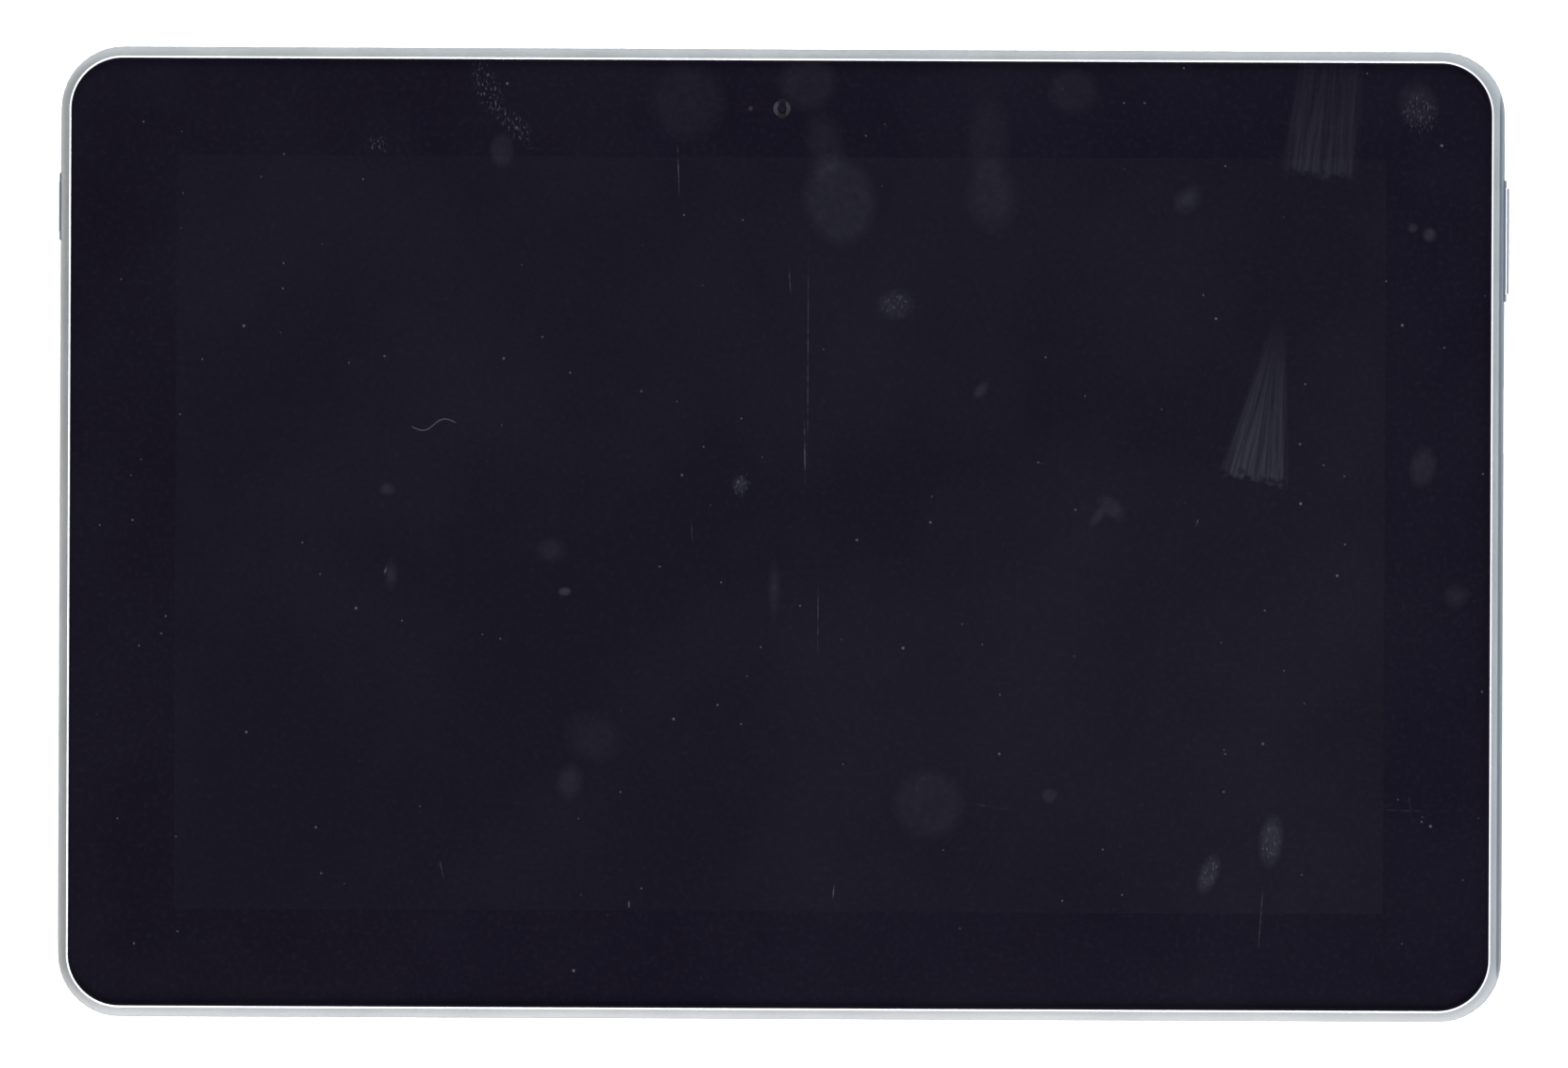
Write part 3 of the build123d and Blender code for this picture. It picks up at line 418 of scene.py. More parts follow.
def join_on(piece, other, operation="UNION"):
    """Join another object to a piece as one solid, or cut it away."""
    step = piece.modifiers.new("join", "BOOLEAN")
    step.operation, step.solver, step.object = operation, "EXACT", other
    bpy.ops.object.select_all(action="DESELECT")
    bpy.context.view_layer.objects.active = piece
    piece.select_set(True)
    bpy.ops.object.modifier_apply(modifier=step.name)
    bpy.data.objects.remove(other)


def box_between(name, x_range, y_range, z_range):
    """A cube stretched between two corners, its size applied to its mesh."""
    spans = (x_range, y_range, z_range)
    cube = add_primitive(bpy.ops.mesh.primitive_cube_add, name, size=1,
                         location=[(low + high) / 2 for low, high in spans])
    cube.scale = [high - low for low, high in spans]
    bpy.ops.object.transform_apply(location=False, rotation=False, scale=True)
    return cube


def sheet_with_corners(name, length, width, corner, bottom, top, segments=14):
    """A flat plate with round corners: a plane, its four corners bevelled, then extruded."""
    plate = add_primitive(bpy.ops.mesh.primitive_plane_add, name, size=1, location=(0, 0, bottom))
    plate.scale = (length, width, 1)
    bpy.ops.object.transform_apply(location=False, rotation=False, scale=True)
    edit(plate, "VERT")
    bpy.ops.mesh.select_all(action="SELECT")
    bpy.ops.mesh.bevel(offset=corner, segments=segments, affect="VERTICES")
    bpy.ops.mesh.select_all(action="SELECT")
    bpy.ops.mesh.extrude_region_move(TRANSFORM_OT_translate={"value": (0, 0, top - bottom)})
    bpy.ops.mesh.select_all(action="SELECT")
    bpy.ops.mesh.normals_make_consistent(inside=False)
    return plate


def turned(name, x, y, z, profile, way=1, steps=48, close_middle=True):
    """A round piece about an upright axis: rings of a circle, extruded and scaled one after another.

    profile holds (radius, height) pairs. Heights grow upwards, or downwards when way is -1."""
    first_radius, first_height = profile[0]
    piece = add_primitive(bpy.ops.mesh.primitive_circle_add, name, vertices=steps, radius=first_radius,
                          location=(x, y, z + way * first_height),
                          fill_type="NGON" if close_middle else "NOTHING")
    edit(piece, "VERT")
    bpy.ops.mesh.select_all(action="SELECT")
    radius, height = first_radius, first_height
    for next_radius, next_height in profile[1:]:
        if close_middle:
            bpy.ops.mesh.extrude_region_move()
        else:
            bpy.ops.mesh.extrude_edges_move()
        share = next_radius / radius
        bpy.ops.transform.resize(value=(share, share, 1), center_override=(x, y, z + way * height))
        bpy.ops.transform.translate(value=(0, 0, way * (next_height - height)))
        radius, height = next_radius, next_height
    return piece


# %% [markdown]
# ## The cover glass
#
# The glass is clear, and what looks black is ink printed on its back. So the glass and the print
# are two pieces: a clear plate with a softly rounded edge, and a thin black sheet with a window
# for the screen and small holes for the camera and the light sensor. Seen through the holes,
# the camera really sits behind the glass.

# %% Glass plate
PRINT_GAP = 0.03 * MM
PRINT_THICKNESS = 0.02 * MM
EDGE_ROUND = 0.14 * MM
GLASS_SHY = 0.15 * MM

glass = sheet_with_corners("cover_glass_fine", glass_length - 2 * GLASS_SHY, glass_width - 2 * GLASS_SHY,
                           GLASS_CORNER - GLASS_SHY, glass_low[2] + PRINT_GAP, glass_high[2], segments=20)
bpy.ops.mesh.select_mode(type="EDGE")
bpy.ops.mesh.select_all(action="DESELECT")
top_z = (glass_high[2] - glass_low[2] - PRINT_GAP) * 0.999
pick(glass, lambda e: all(v.co.z > top_z for v in e.verts), "edges")
bpy.ops.mesh.bevel(offset=EDGE_ROUND, segments=3, affect="EDGES")
done(glass)

# %% Printed border
CAMERA_HOLE = 1.74 * MM
SENSOR_HOLE = 0.45 * MM
SENSOR_OFFSET = 5.6 * MM
PRINT_INSET = -0.04 * MM

border = sheet_with_corners("glass_print", glass_length - 2 * PRINT_INSET, glass_width - 2 * PRINT_INSET,
                            GLASS_CORNER - PRINT_INSET, glass_low[2] + 0.005 * MM,
                            glass_low[2] + 0.005 * MM + PRINT_THICKNESS, segments=20)
bpy.ops.object.mode_set(mode="OBJECT")
screen = add_primitive(bpy.ops.mesh.primitive_cube_add, "screen_cut", size=1, location=(0, 0, glass_low[2]))
screen.scale = (SCREEN_LENGTH, SCREEN_WIDTH, 1 * MM)
join_on(border, screen, "DIFFERENCE")
for radius, x in ((CAMERA_HOLE, 0.0), (SENSOR_HOLE, -SENSOR_OFFSET)):
    drill = add_primitive(bpy.ops.mesh.primitive_cylinder_add, "drill", vertices=48, radius=radius,
                          depth=1 * MM, location=(x, front_camera_y, glass_low[2]))
    join_on(border, drill, "DIFFERENCE")
edit(border)
done(border)

# %% [markdown]
# ## The silver rim
#
# The rim runs round the glass as one band. From the glass outwards it has a thin bright bevel, then
# a face that curves down and away until it meets the back shell in a fine seam. It starts as a
# plate with round corners, and `inset` pulls its upper face in and up, step by step, along the
# section of the band. Inset keeps every step parallel to the last one, also round the corners.

# %% Section of the rim
BODY_CORNER = 11.2 * MM
OUTER_SECTION = [(0.06, 6.66), (0.03, 6.74), (0.05, 6.95), (0.18, 7.50), (0.38, 8.07), (0.64, 8.60),
                 (0.94, 9.02), (1.26, 9.36), (1.55, 9.597), (1.595, 9.64), (1.87, 9.905),
                 (1.89, 9.925), (1.92, 9.90), (1.94, 8.93), (5.40, 8.93)]
INNER_SECTION = [(2.10, 6.70), (2.12, 8.13), (5.40, 8.13)]
first_inset, first_height = OUTER_SECTION[0]
body_length = 259.0 * MM
body_width = back_high[1] - back_low[1]


def climb(section, from_inset, from_height, way=1):
    """Inset the selected face along a section of (inset, height) points in millimetres."""
    inset, height = from_inset, from_height
    for next_inset, next_height in section:
        bpy.ops.mesh.inset(thickness=(next_inset - inset) * MM, depth=way * (next_height - height) * MM,
                           use_even_offset=True)
        inset, height = next_inset, next_height


rim = sheet_with_corners("silver_rim", body_length - 2 * first_inset * MM, body_width - 2 * first_inset * MM,
                         BODY_CORNER - first_inset * MM, (first_height - 0.01) * MM, first_height * MM,
                         segments=20)
bpy.ops.mesh.select_mode(type="FACE")
bpy.ops.mesh.select_all(action="DESELECT")
pick(rim, lambda f: f.normal.z > 0.9)
climb(OUTER_SECTION[1:], first_inset, first_height)
bpy.ops.mesh.delete(type="FACE")
pick(rim, lambda f: f.normal.z < -0.9 and f.calc_area() > 0.5 * body_length * body_width)
climb(INNER_SECTION, first_inset, first_height, way=-1)
bpy.ops.mesh.delete(type="FACE")
done(rim, 28)
rim.data.materials.append(rim_metal)
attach(rim, "housing")
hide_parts("front_frame")

# %% [markdown]
# ## The side keys
#
# A key is a short bar with round ends that pokes through the wall, with a wider flange inside that
# stops it from falling out. The bar is a box with its outer corners bevelled twice: once to round
# the ends, once to soften the upper and lower edges. The volume key also has a hub to rock about.


# %% Key helpers
switch_low, switch_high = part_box("side_switches")
SWITCH_Z = (switch_low[2] + switch_high[2]) / 2
BAR_OVERLAP = 0.4 * MM
FLANGE_THICKNESS = 0.8 * MM
FLANGE_LIP = 0.7 * MM
POWER_FLANGE_INSET = 2.0 * MM
VOLUME_FLANGE_INSET = 2.2 * MM
NUB_HALF_WIDTH = 0.7 * MM
NUB_HALF_HEIGHT = 0.6 * MM
NUB_REACH = (0.6 * MM, 1.4 * MM)
NUB_SPACING = 6 * MM


def key_bar(name, side, y, length, out, flange_inset, nubs):
    """The bar, the flange and the switch posts of one side key."""
    outer, inner = KEY_WALL + out, body_length / 2 - flange_inset
    x_range = sorted((side * outer, side * (inner - BAR_OVERLAP)))
    half = (x_range[1] - x_range[0]) / 2
    bar = box_between(name, x_range, (y - length / 2, y + length / 2),
                      (KEY_MIDDLE - KEY_HEIGHT / 2, KEY_MIDDLE + KEY_HEIGHT / 2))
    edit(bar, "EDGE")
    pick(bar, lambda e: side * middle(e).x > 0.9 * half and abs(middle(e).z) < 0.1 * MM
         and abs(middle(e).y) > 0.4 * length, "edges")
    bpy.ops.mesh.bevel(offset=0.5 * MM, segments=5, affect="EDGES")
    bpy.ops.mesh.select_all(action="DESELECT")
    pick(bar, lambda e: abs(middle(e).z) > 0.99 * KEY_HEIGHT / 2 and side * middle(e).x > -0.9 * half
         and not (side * middle(e).x < 0.3 * half and abs(middle(e).y) < 0.4 * length), "edges")
    bpy.ops.mesh.bevel(offset=KEY_EDGE, segments=6, affect="EDGES")
    bpy.ops.object.mode_set(mode="OBJECT")
    flange = box_between("flange", sorted((side * inner, side * (inner - FLANGE_THICKNESS))),
                         (y - length / 2 - FLANGE_LIP, y + length / 2 + FLANGE_LIP),
                         (KEY_MIDDLE - KEY_HEIGHT / 2, KEY_MIDDLE + KEY_HEIGHT / 2))
    join_on(bar, flange)
    for nub_y in nubs:
        nub = box_between("nub", sorted((side * (inner - NUB_REACH[0]), side * (inner - NUB_REACH[1]))),
                          (nub_y - NUB_HALF_WIDTH, nub_y + NUB_HALF_WIDTH),
                          (SWITCH_Z - NUB_HALF_HEIGHT, SWITCH_Z + NUB_HALF_HEIGHT))
        join_on(bar, nub)
    return bar


# %% Both keys
power_low, power_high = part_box("power_button")
rocker_low, rocker_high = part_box("volume_rocker")
pin_low, pin_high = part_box("rocker_pin")
power_y = (power_low[1] + power_high[1]) / 2
rocker_y = (rocker_low[1] + rocker_high[1]) / 2
hub_x = (pin_low[0] + pin_high[0]) / 2

power_key = key_bar("power_key_bar", -1, power_y, POWER_LENGTH, POWER_OUT,
                    POWER_FLANGE_INSET, [power_y])
edit(power_key)
done(power_key, 40)
volume_key = key_bar("volume_key_bar", 1, rocker_y, VOLUME_LENGTH, VOLUME_OUT,
                     VOLUME_FLANGE_INSET, [rocker_y - NUB_SPACING, rocker_y + NUB_SPACING])
hub = add_primitive(bpy.ops.mesh.primitive_cylinder_add, "hub", vertices=40, radius=0.9 * MM,
                    depth=2.0 * MM, location=(hub_x, rocker_y, KEY_MIDDLE))
join_on(volume_key, hub)
hole = add_primitive(bpy.ops.mesh.primitive_cylinder_add, "hole", vertices=40, radius=0.5 * MM,
                     depth=6.0 * MM, location=(hub_x, rocker_y, KEY_MIDDLE))
join_on(volume_key, hole, "DIFFERENCE")
edit(volume_key)
done(volume_key, 40)
for key, node_name, body, out in ((power_key, "power_button", "power_key", POWER_OUT),
                                  (volume_key, "volume_rocker", "volume_key", VOLUME_OUT)):
    key.data.materials.append(key_metal(body + " satin", out))
    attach(key, body)
    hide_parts(node_name)

# %% [markdown]
# The shell swells a little round each key, which keeps a hand from pressing it by accident. The
# swelling is a flat pad with bevelled edges and an opening a hair larger than the key.

# %% Shoulders round the keys
SHOULDER_OUT = 0.30 * MM
SHOULDER_MARGIN = 1.3 * MM
SHOULDER_HALF_HEIGHT = 2.0 * MM
KEY_PLAY = 0.16 * MM
for name, side, y, length in (("power_shoulder", -1, power_y, POWER_LENGTH),
                              ("volume_shoulder", 1, rocker_y, VOLUME_LENGTH)):
    x_range = sorted((side * (body_length / 2 + SHOULDER_OUT), side * (body_length / 2 - 0.5 * MM)))
    shoulder = box_between(name, x_range, (y - length / 2 - SHOULDER_MARGIN,
                                          y + length / 2 + SHOULDER_MARGIN),
                           (KEY_MIDDLE - SHOULDER_HALF_HEIGHT, KEY_MIDDLE + SHOULDER_HALF_HEIGHT))
    reach = (x_range[1] - x_range[0]) / 2
    edit(shoulder, "EDGE")
    pick(shoulder, lambda e: side * middle(e).x > 0.9 * reach, "edges")
    bpy.ops.mesh.bevel(offset=0.28 * MM, segments=4, affect="EDGES")
    bpy.ops.object.mode_set(mode="OBJECT")
    opening = box_between("opening", (x_range[0] - 1 * MM, x_range[1] + 1 * MM),
                          (y - length / 2 - KEY_PLAY, y + length / 2 + KEY_PLAY),
                          (KEY_MIDDLE - KEY_HEIGHT / 2 - KEY_PLAY, KEY_MIDDLE + KEY_HEIGHT / 2 + KEY_PLAY))
    join_on(shoulder, opening, "DIFFERENCE")
    edit(shoulder)
    done(shoulder, 40)
    shoulder.data.materials.append(back_plastic)
    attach(shoulder, "housing")

# %% [markdown]
# ## Marks on the glass
#
# A used glass is never clean. Smears are thin films of grease that scatter a little light: some
# are soft ovals left by fingers, some are wiped into streaks. Each mark is a soft oval mask, and a
# streaked one is multiplied by noise that is stretched along the wipe. All the masks add up to one
# number that says how much pale haze lies on the glass at that point.


# %% Mark helpers
def local_place(tree, place, x, y, angle, across=1.0, along=1.0):
    """Coordinates about a mark's middle, turned with the mark and divided by its size in millimetres."""
    return node(tree, "ShaderNodeMapping", {"Vector": place, "Location": (x * MM, y * MM, 0),
                                            "Rotation": (0, 0, math.radians(angle)),
                                            "Scale": (across * MM, along * MM, 1000.0)},
                vector_type="TEXTURE").outputs[0]


def smear(tree, place, x, y, half_width, half_length, angle, strength, softness=0.5):
    """A soft oval: full strength in the middle, nothing at its edge."""
    local = local_place(tree, place, x, y, angle, half_width, half_length)
    distance = node(tree, "ShaderNodeVectorMath", {0: local}, operation="LENGTH").outputs["Value"]
    return spread(tree, distance, strength, 0.0, 1.0 - softness, 1.0)


def scratch(tree, place, x, y, length, angle, strength, width=0.13):
    """A hair-thin line: a very narrow oval."""
    return smear(tree, place, x, y, width, length / 2, angle, strength, 0.6)


def added(tree, values):
    """The sum of a list of sockets."""
    total = values[0]
    for value in values[1:]:
        total = maths(tree, "ADD", total, value)
    return total


def wipe(tree, place, ragged, x, y, half_width, length, angle, strength, flare):
    """A wiped wedge: streaks that fan out downwards from a faint top to a sharp lower edge."""
    parts = node(tree, "ShaderNodeSeparateXYZ", {0: local_place(tree, place, x, y, angle)})
    across, along = parts.outputs["X"], parts.outputs["Y"]
    down = spread(tree, along, 1.0, 0.0, 0.0, length)
    width = spread(tree, down, half_width * (1 - flare), half_width, 0.0, 1.0)
    side = maths(tree, "DIVIDE", across, width)
    inside = spread(tree, maths(tree, "ABSOLUTE", side), 1.0, 0.0, 0.75, 1.05)
    foot = spread(tree, maths(tree, "ADD", along, ragged), 0.0, 1.0, -0.6, 0.9)
    fibres = node(tree, "ShaderNodeCombineXYZ", {"X": maths(tree, "MULTIPLY", side, 7.0),
                                                "Y": maths(tree, "MULTIPLY", along, 0.045)}).outputs[0]
    streaks = node(tree, "ShaderNodeTexNoise", {"Vector": fibres, "Scale": 1.0, "Detail": 4.0,
                                                "Roughness": 0.65}).outputs["Fac"]
    streaks = spread(tree, streaks, 0.12, 1.25, 0.36, 0.64)
    body = maths(tree, "MULTIPLY", maths(tree, "MULTIPLY", inside, foot), maths(tree, "POWER", down, 0.8))
    return maths(tree, "MULTIPLY", maths(tree, "MULTIPLY", body, streaks), strength)


def specks(tree, place, spacing_mm, size_mm, share, strength):
    """Dust: small dots in some of the cells of a scattered grid."""
    cells = node(tree, "ShaderNodeTexVoronoi", {"Vector": place, "Scale": 1 / (spacing_mm * MM),
                                                "Randomness": 1.0})
    dot = spread(tree, cells.outputs["Distance"], 1.0, 0.0, 0.3 * size_mm / spacing_mm,
                 size_mm / spacing_mm)
    draw = node(tree, "ShaderNodeSeparateXYZ", {0: cells.outputs["Color"]}).outputs["X"]
    chosen = maths(tree, "LESS_THAN", draw, share)
    return maths(tree, "MULTIPLY", maths(tree, "MULTIPLY", dot, chosen), strength)


def hair(tree, place, x, y, angle):
    """A short curled hair: points close to a gentle wave."""
    parts = node(tree, "ShaderNodeSeparateXYZ", {0: local_place(tree, place, x, y, angle)})
    along, across = parts.outputs["X"], parts.outputs["Y"]
    wave = maths(tree, "MULTIPLY", maths(tree, "SINE", maths(tree, "MULTIPLY", along, 0.85)), 0.75)
    off_line = maths(tree, "ABSOLUTE", maths(tree, "SUBTRACT", across, wave))
    return maths(tree, "MULTIPLY", spread(tree, off_line, 1.0, 0.0, 0.04, 0.16),
                 spread(tree, maths(tree, "ABSOLUTE", along), 1.0, 0.0, 3.6, 4.2))


# %% [markdown]
# The list of marks is in millimetres from the middle of the glass, with the screen's long side
# along X: where the mark lies, how wide and long it is, how far it is turned, how strong it is.

# %% List of marks
SMEARS = [
    (10.4, 60.0, 7.0, 8.8, 10, 0.13, 0.30), (7.8, 69.5, 3.8, 8.0, 10, 0.09, 0.6),
    (37.8, 60.8, 5.2, 7.4, 4, 0.11, 0.5), (37.0, 71.0, 4.8, 8.4, 0, 0.07, 0.6),
    (-17.0, 77.5, 7.6, 8.2, 0, 0.07, 0.4), (4.6, 81.0, 5.8, 5.4, 0, 0.09, 0.35),
    (52.4, 79.6, 5.0, 4.6, 0, 0.08, 0.4), (-50.2, 68.6, 2.4, 3.5, 0, 0.13, 0.4),
    (20.6, 41.3, 3.8, 3.1, 0, 0.13, 0.55), (59.5, 5.0, 3.4, 2.0, -38, 0.16, 0.6),
    (57.0, 3.4, 1.1, 2.3, -35, 0.20, 0.6), (115.4, 12.6, 2.7, 4.2, -8, 0.15, 0.5),
    (77.2, -60.6, 2.0, 4.2, -20, 0.27, 0.6), (88.4, -54.6, 2.5, 5.3, -6, 0.25, 0.6),
    (114.2, 77.6, 4.0, 4.6, 20, 0.15, 0.6), (73.0, 60.2, 2.4, 3.4, -40, 0.18, 0.7),
    (116.4, 54.2, 1.4, 1.5, 0, 0.30, 0.6), (113.4, 55.4, 1.0, 1.0, 0, 0.25, 0.6),
    (-37.5, -44.5, 2.8, 3.6, -10, 0.15, 0.6), (-33.5, -36.5, 6.0, 5.0, -30, 0.08, 0.6),
    (27.0, -48.2, 6.8, 6.8, 0, 0.10, 0.3), (-41.0, -3.0, 3.2, 2.6, 0, 0.12, 0.7),
    (-38.6, -10.4, 1.4, 0.9, 0, 0.45, 0.6), (48.6, -46.6, 1.6, 1.5, 0, 0.18, 0.4),
    (-7.2, 8.8, 1.6, 2.0, 0, 0.24, 0.7), (-1.0, -10.0, 1.3, 6.0, 0, 0.15, 0.8),
    (36.0, 26.0, 1.2, 2.2, -40, 0.20, 0.7), (121.5, -10.5, 2.6, 2.4, 0, 0.14, 0.7),
    (-70.5, 7.8, 1.6, 1.4, 0, 0.20, 0.7), (-69.8, -7.4, 1.4, 3.2, 0, 0.16, 0.7),
]
SCRATCHES = [
    (4.9, 32.5, 49.0, 0, 0.50, 0.11), (4.4, 14.5, 13.0, 1, 0.9, 0.15), (6.9, -15.0, 15.0, 0, 0.50, 0.12),
    (-18.5, 65.5, 10.5, 2, 0.90, 0.13), (1.6, 45.4, 6.0, 4, 0.60, 0.12), (86.6, -68.5, 12.5, -4, 0.55, 0.12),
    (-15.8, 0.6, 4.6, 3, 0.45, 0.12), (112.0, -49.0, 10.0, 88, 0.30, 0.10),
    (113.4, -48.6, 6.0, 8, 0.30, 0.10), (38.0, -48.6, 9.0, 82, 0.30, 0.12),
    (-60.4, -60.6, 4.2, 14, 0.8, 0.18), (9.9, -64.0, 3.4, -4, 0.7, 0.16), (74.9, 2.3, 1.7, -14, 1.1, 0.22),
    (-26.8, -66.4, 1.6, 0, 0.9, 0.22), (-70.8, -6.8, 1.6, -20, 0.8, 0.20),
]
SPECKLED = [(77.4, -60.2, 1.8, 4.0, -20, 0.5, 0.5), (88.4, -54.2, 2.3, 5.0, -6, 0.5, 0.5),
            (-52.6, 79.5, 2.6, 6.5, 24, 1.0, 0.6), (-47.6, 72.6, 2.2, 5.0, 40, 0.9, 0.7),
            (114.6, 76.0, 3.6, 4.4, 0, 0.8, 0.6), (20.6, 41.3, 3.6, 2.9, 0, 0.45, 0.5),
            (-72.6, 69.6, 3.0, 2.2, 0, 0.6, 0.7), (-7.0, 9.0, 1.8, 3.0, 0, 0.8, 0.7)]
WIPES = [(85.0, 10.4, 6.2, 29.0, -9.0, 0.38, 0.82), (96.5, 65.0, 6.8, 24.0, -6.0, 0.22, 0.12)]
HAZE = 0.030
TOP_BENDING = 1.42
DUST = [(6.5, 0.34, 0.45, 1.5), (3.6, 0.24, 0.22, 1.1)]


# %% [markdown]
# The glass itself mirrors a little of the room, more at a slant, as the Fresnel node says, and lets
# the rest through. Haze from the marks is mixed over that as a faint pale layer.


# %% Clear pane
def clear_pane(tree, bending):
    """Clear glass that mirrors more at a slant."""
    gloss = node(tree, "ShaderNodeBsdfGlossy", {"Color": (1, 1, 1, 1), "Roughness": 0.02})
    clear = node(tree, "ShaderNodeBsdfTransparent", {"Color": (0.985, 0.99, 0.99, 1)})
    fresnel = node(tree, "ShaderNodeFresnel", {"IOR": bending}).outputs[0]
    return node(tree, "ShaderNodeMixShader", {0: fresnel, 1: clear.outputs[0], 2: gloss.outputs[0]})


def pale_over(tree, shader, pane, share, colour):
    """Lay a pale film over the pane and make that the material's surface."""
    film = node(tree, "ShaderNodeBsdfDiffuse", {"Color": colour})
    whole = node(tree, "ShaderNodeMixShader", {0: share, 1: pane.outputs[0], 2: film.outputs[0]})
    tree.links.new(whole.outputs[0], tree.nodes["Material Output"].inputs["Surface"])
    tree.nodes.remove(shader)


# %% Glass finish
def marked_glass():
    """Clear glass whose upper face carries the marks, as seen from outside."""
    material, tree, shader, place = blank("marked glass")
    uneven = noise(tree, place, 1.5, 3.0)
    ragged = spread(tree, uneven, -1.2, 1.2)
    cloud = spread(tree, noise(tree, place, 34.0, 3.0), 0.0, 0.035, 0.42, 0.75)
    greasy = added(tree, [smear(tree, place, *mark) for mark in SMEARS])
    greasy = maths(tree, "MULTIPLY", greasy, spread(tree, uneven, 0.55, 1.1))
    lines = added(tree, [scratch(tree, place, *mark) for mark in SCRATCHES])
    lines = maths(tree, "MULTIPLY", lines, spread(tree, uneven, 0.15, 1.2, 0.40, 0.62))
    grains = spread(tree, noise(tree, place, 0.55, 2.0, (0.6, 1.6, 1)), 0.0, 1.5, 0.56, 0.72)
    speckled = added(tree, [smear(tree, place, *mark) for mark in SPECKLED])
    lines = maths(tree, "ADD", lines, maths(tree, "MULTIPLY", speckled, grains))
    wiped = [wipe(tree, place, ragged, *mark) for mark in WIPES]
    dust = [specks(tree, place, *kind) for kind in DUST]
    total = added(tree, [cloud, greasy, lines, hair(tree, place, -62.2, 19.4, 8), *wiped, *dust])
    haze = maths(tree, "MULTIPLY", total, HAZE, clamp=True)
    pale_over(tree, shader, clear_pane(tree, TOP_BENDING), haze, (0.80, 0.79, 0.88, 1))
    return material


# %% [markdown]
# Only the upper face is touched by fingers, so only that face gets the marks, and the edge and the
# lower face stay plain. The lamps' shadow rays skip the clear glass, which saves most of the time.


# %% Plain clear glass
def clear_glass(name, bending):
    """Clear glass with a trace of dust; bending near 1 means that it is glued to what is behind it."""
    material, tree, shader, place = blank(name)
    dust = spread(tree, noise(tree, place, 0.9, 3.0), 0.0, 0.002, 0.5, 0.8)
    pale_over(tree, shader, clear_pane(tree, bending), dust, (0.7, 0.7, 0.72, 1))
    return material


border_ink_and_gap_shade = finish("border ink", (0.0028, 0.0022, 0.0047), (0.0032, 0.0026, 0.0053), (0.30, 0.40),
                    tone_mm=25, grain_mm=0.08, depth_mm=0.002, strength=0.1,
                    extra={"Specular IOR Level": 0.04})
glass.data.materials.append(clear_glass("glued glass face", 1.03))
glass.data.materials.append(marked_glass())
glass.data.materials.append(border_ink_and_gap_shade)
# The side faces and the rounded top edge take the black ink too, as painted shade for the dark gap line
# between the glass and the rim.
edit(glass)
pick(glass, lambda f: abs(f.normal.z) < 0.97)
glass.active_material_index = 2
bpy.ops.object.material_slot_assign()
bpy.ops.mesh.select_all(action="DESELECT")
pick(glass, lambda f: f.normal.z > 0.9 and f.calc_area() > 0.5 * glass_length * glass_width)
glass.active_material_index = 1
bpy.ops.object.material_slot_assign()
bpy.ops.object.mode_set(mode="OBJECT")
glass.visible_shadow = glass.visible_diffuse = glass.visible_glossy = False

border.data.materials.append(border_ink_and_gap_shade)
print(len(SMEARS), "smears,", len(SCRATCHES), "scratches,", len(WIPES), "wipes")

# %% Put the two pieces in the glass's place
for piece in (glass, border):
    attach(piece, "housing")
    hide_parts("cover_glass")

# %% [markdown]
# ## The screen behind the glass
#
# The screen is off, so it is nearly as dark as the border, only a little paler and warmer. The top
# layer is the touch film, whose clear conducting grid can just be made out when light grazes it.


# %% Touch film
def touch_film():
    """Dark film with a faint square grid of clear conductors."""
    material, tree, shader, place = blank("touch film")
    slow = noise(tree, place, 60.0, 3.0)
    grid = node(tree, "ShaderNodeTexBrick", {"Vector": place, "Color1": (0.52, 0.52, 0.52, 1),
                                             "Color2": (0.48, 0.48, 0.48, 1), "Mortar": (0, 0, 0, 1),
                                             "Scale": 1.0, "Mortar Size": 0.00012, "Brick Width": 0.0048,
                                             "Row Height": 0.0048}, offset=0.0)
    shade(shader, {"Base Color": two_tone(tree, slow, (0.0032, 0.0028, 0.0052), (0.0038, 0.0034, 0.0061)),
                   "Roughness": 0.32, "Specular IOR Level": 0.04,
                   "Normal": bump(tree, grid.outputs["Fac"], 0.05, 0.002)})
    return material


# %% [markdown]
# ## Finishes of the electronics
#
# Inside a tablet the same few materials come back again and again: green board with copper tracks
# under the lacquer, black moulded chips, tinned steel cans, amber flexible circuits, silver battery
# pouches, black foam and cast metal. Each is one recipe, given to every part that is made of it.


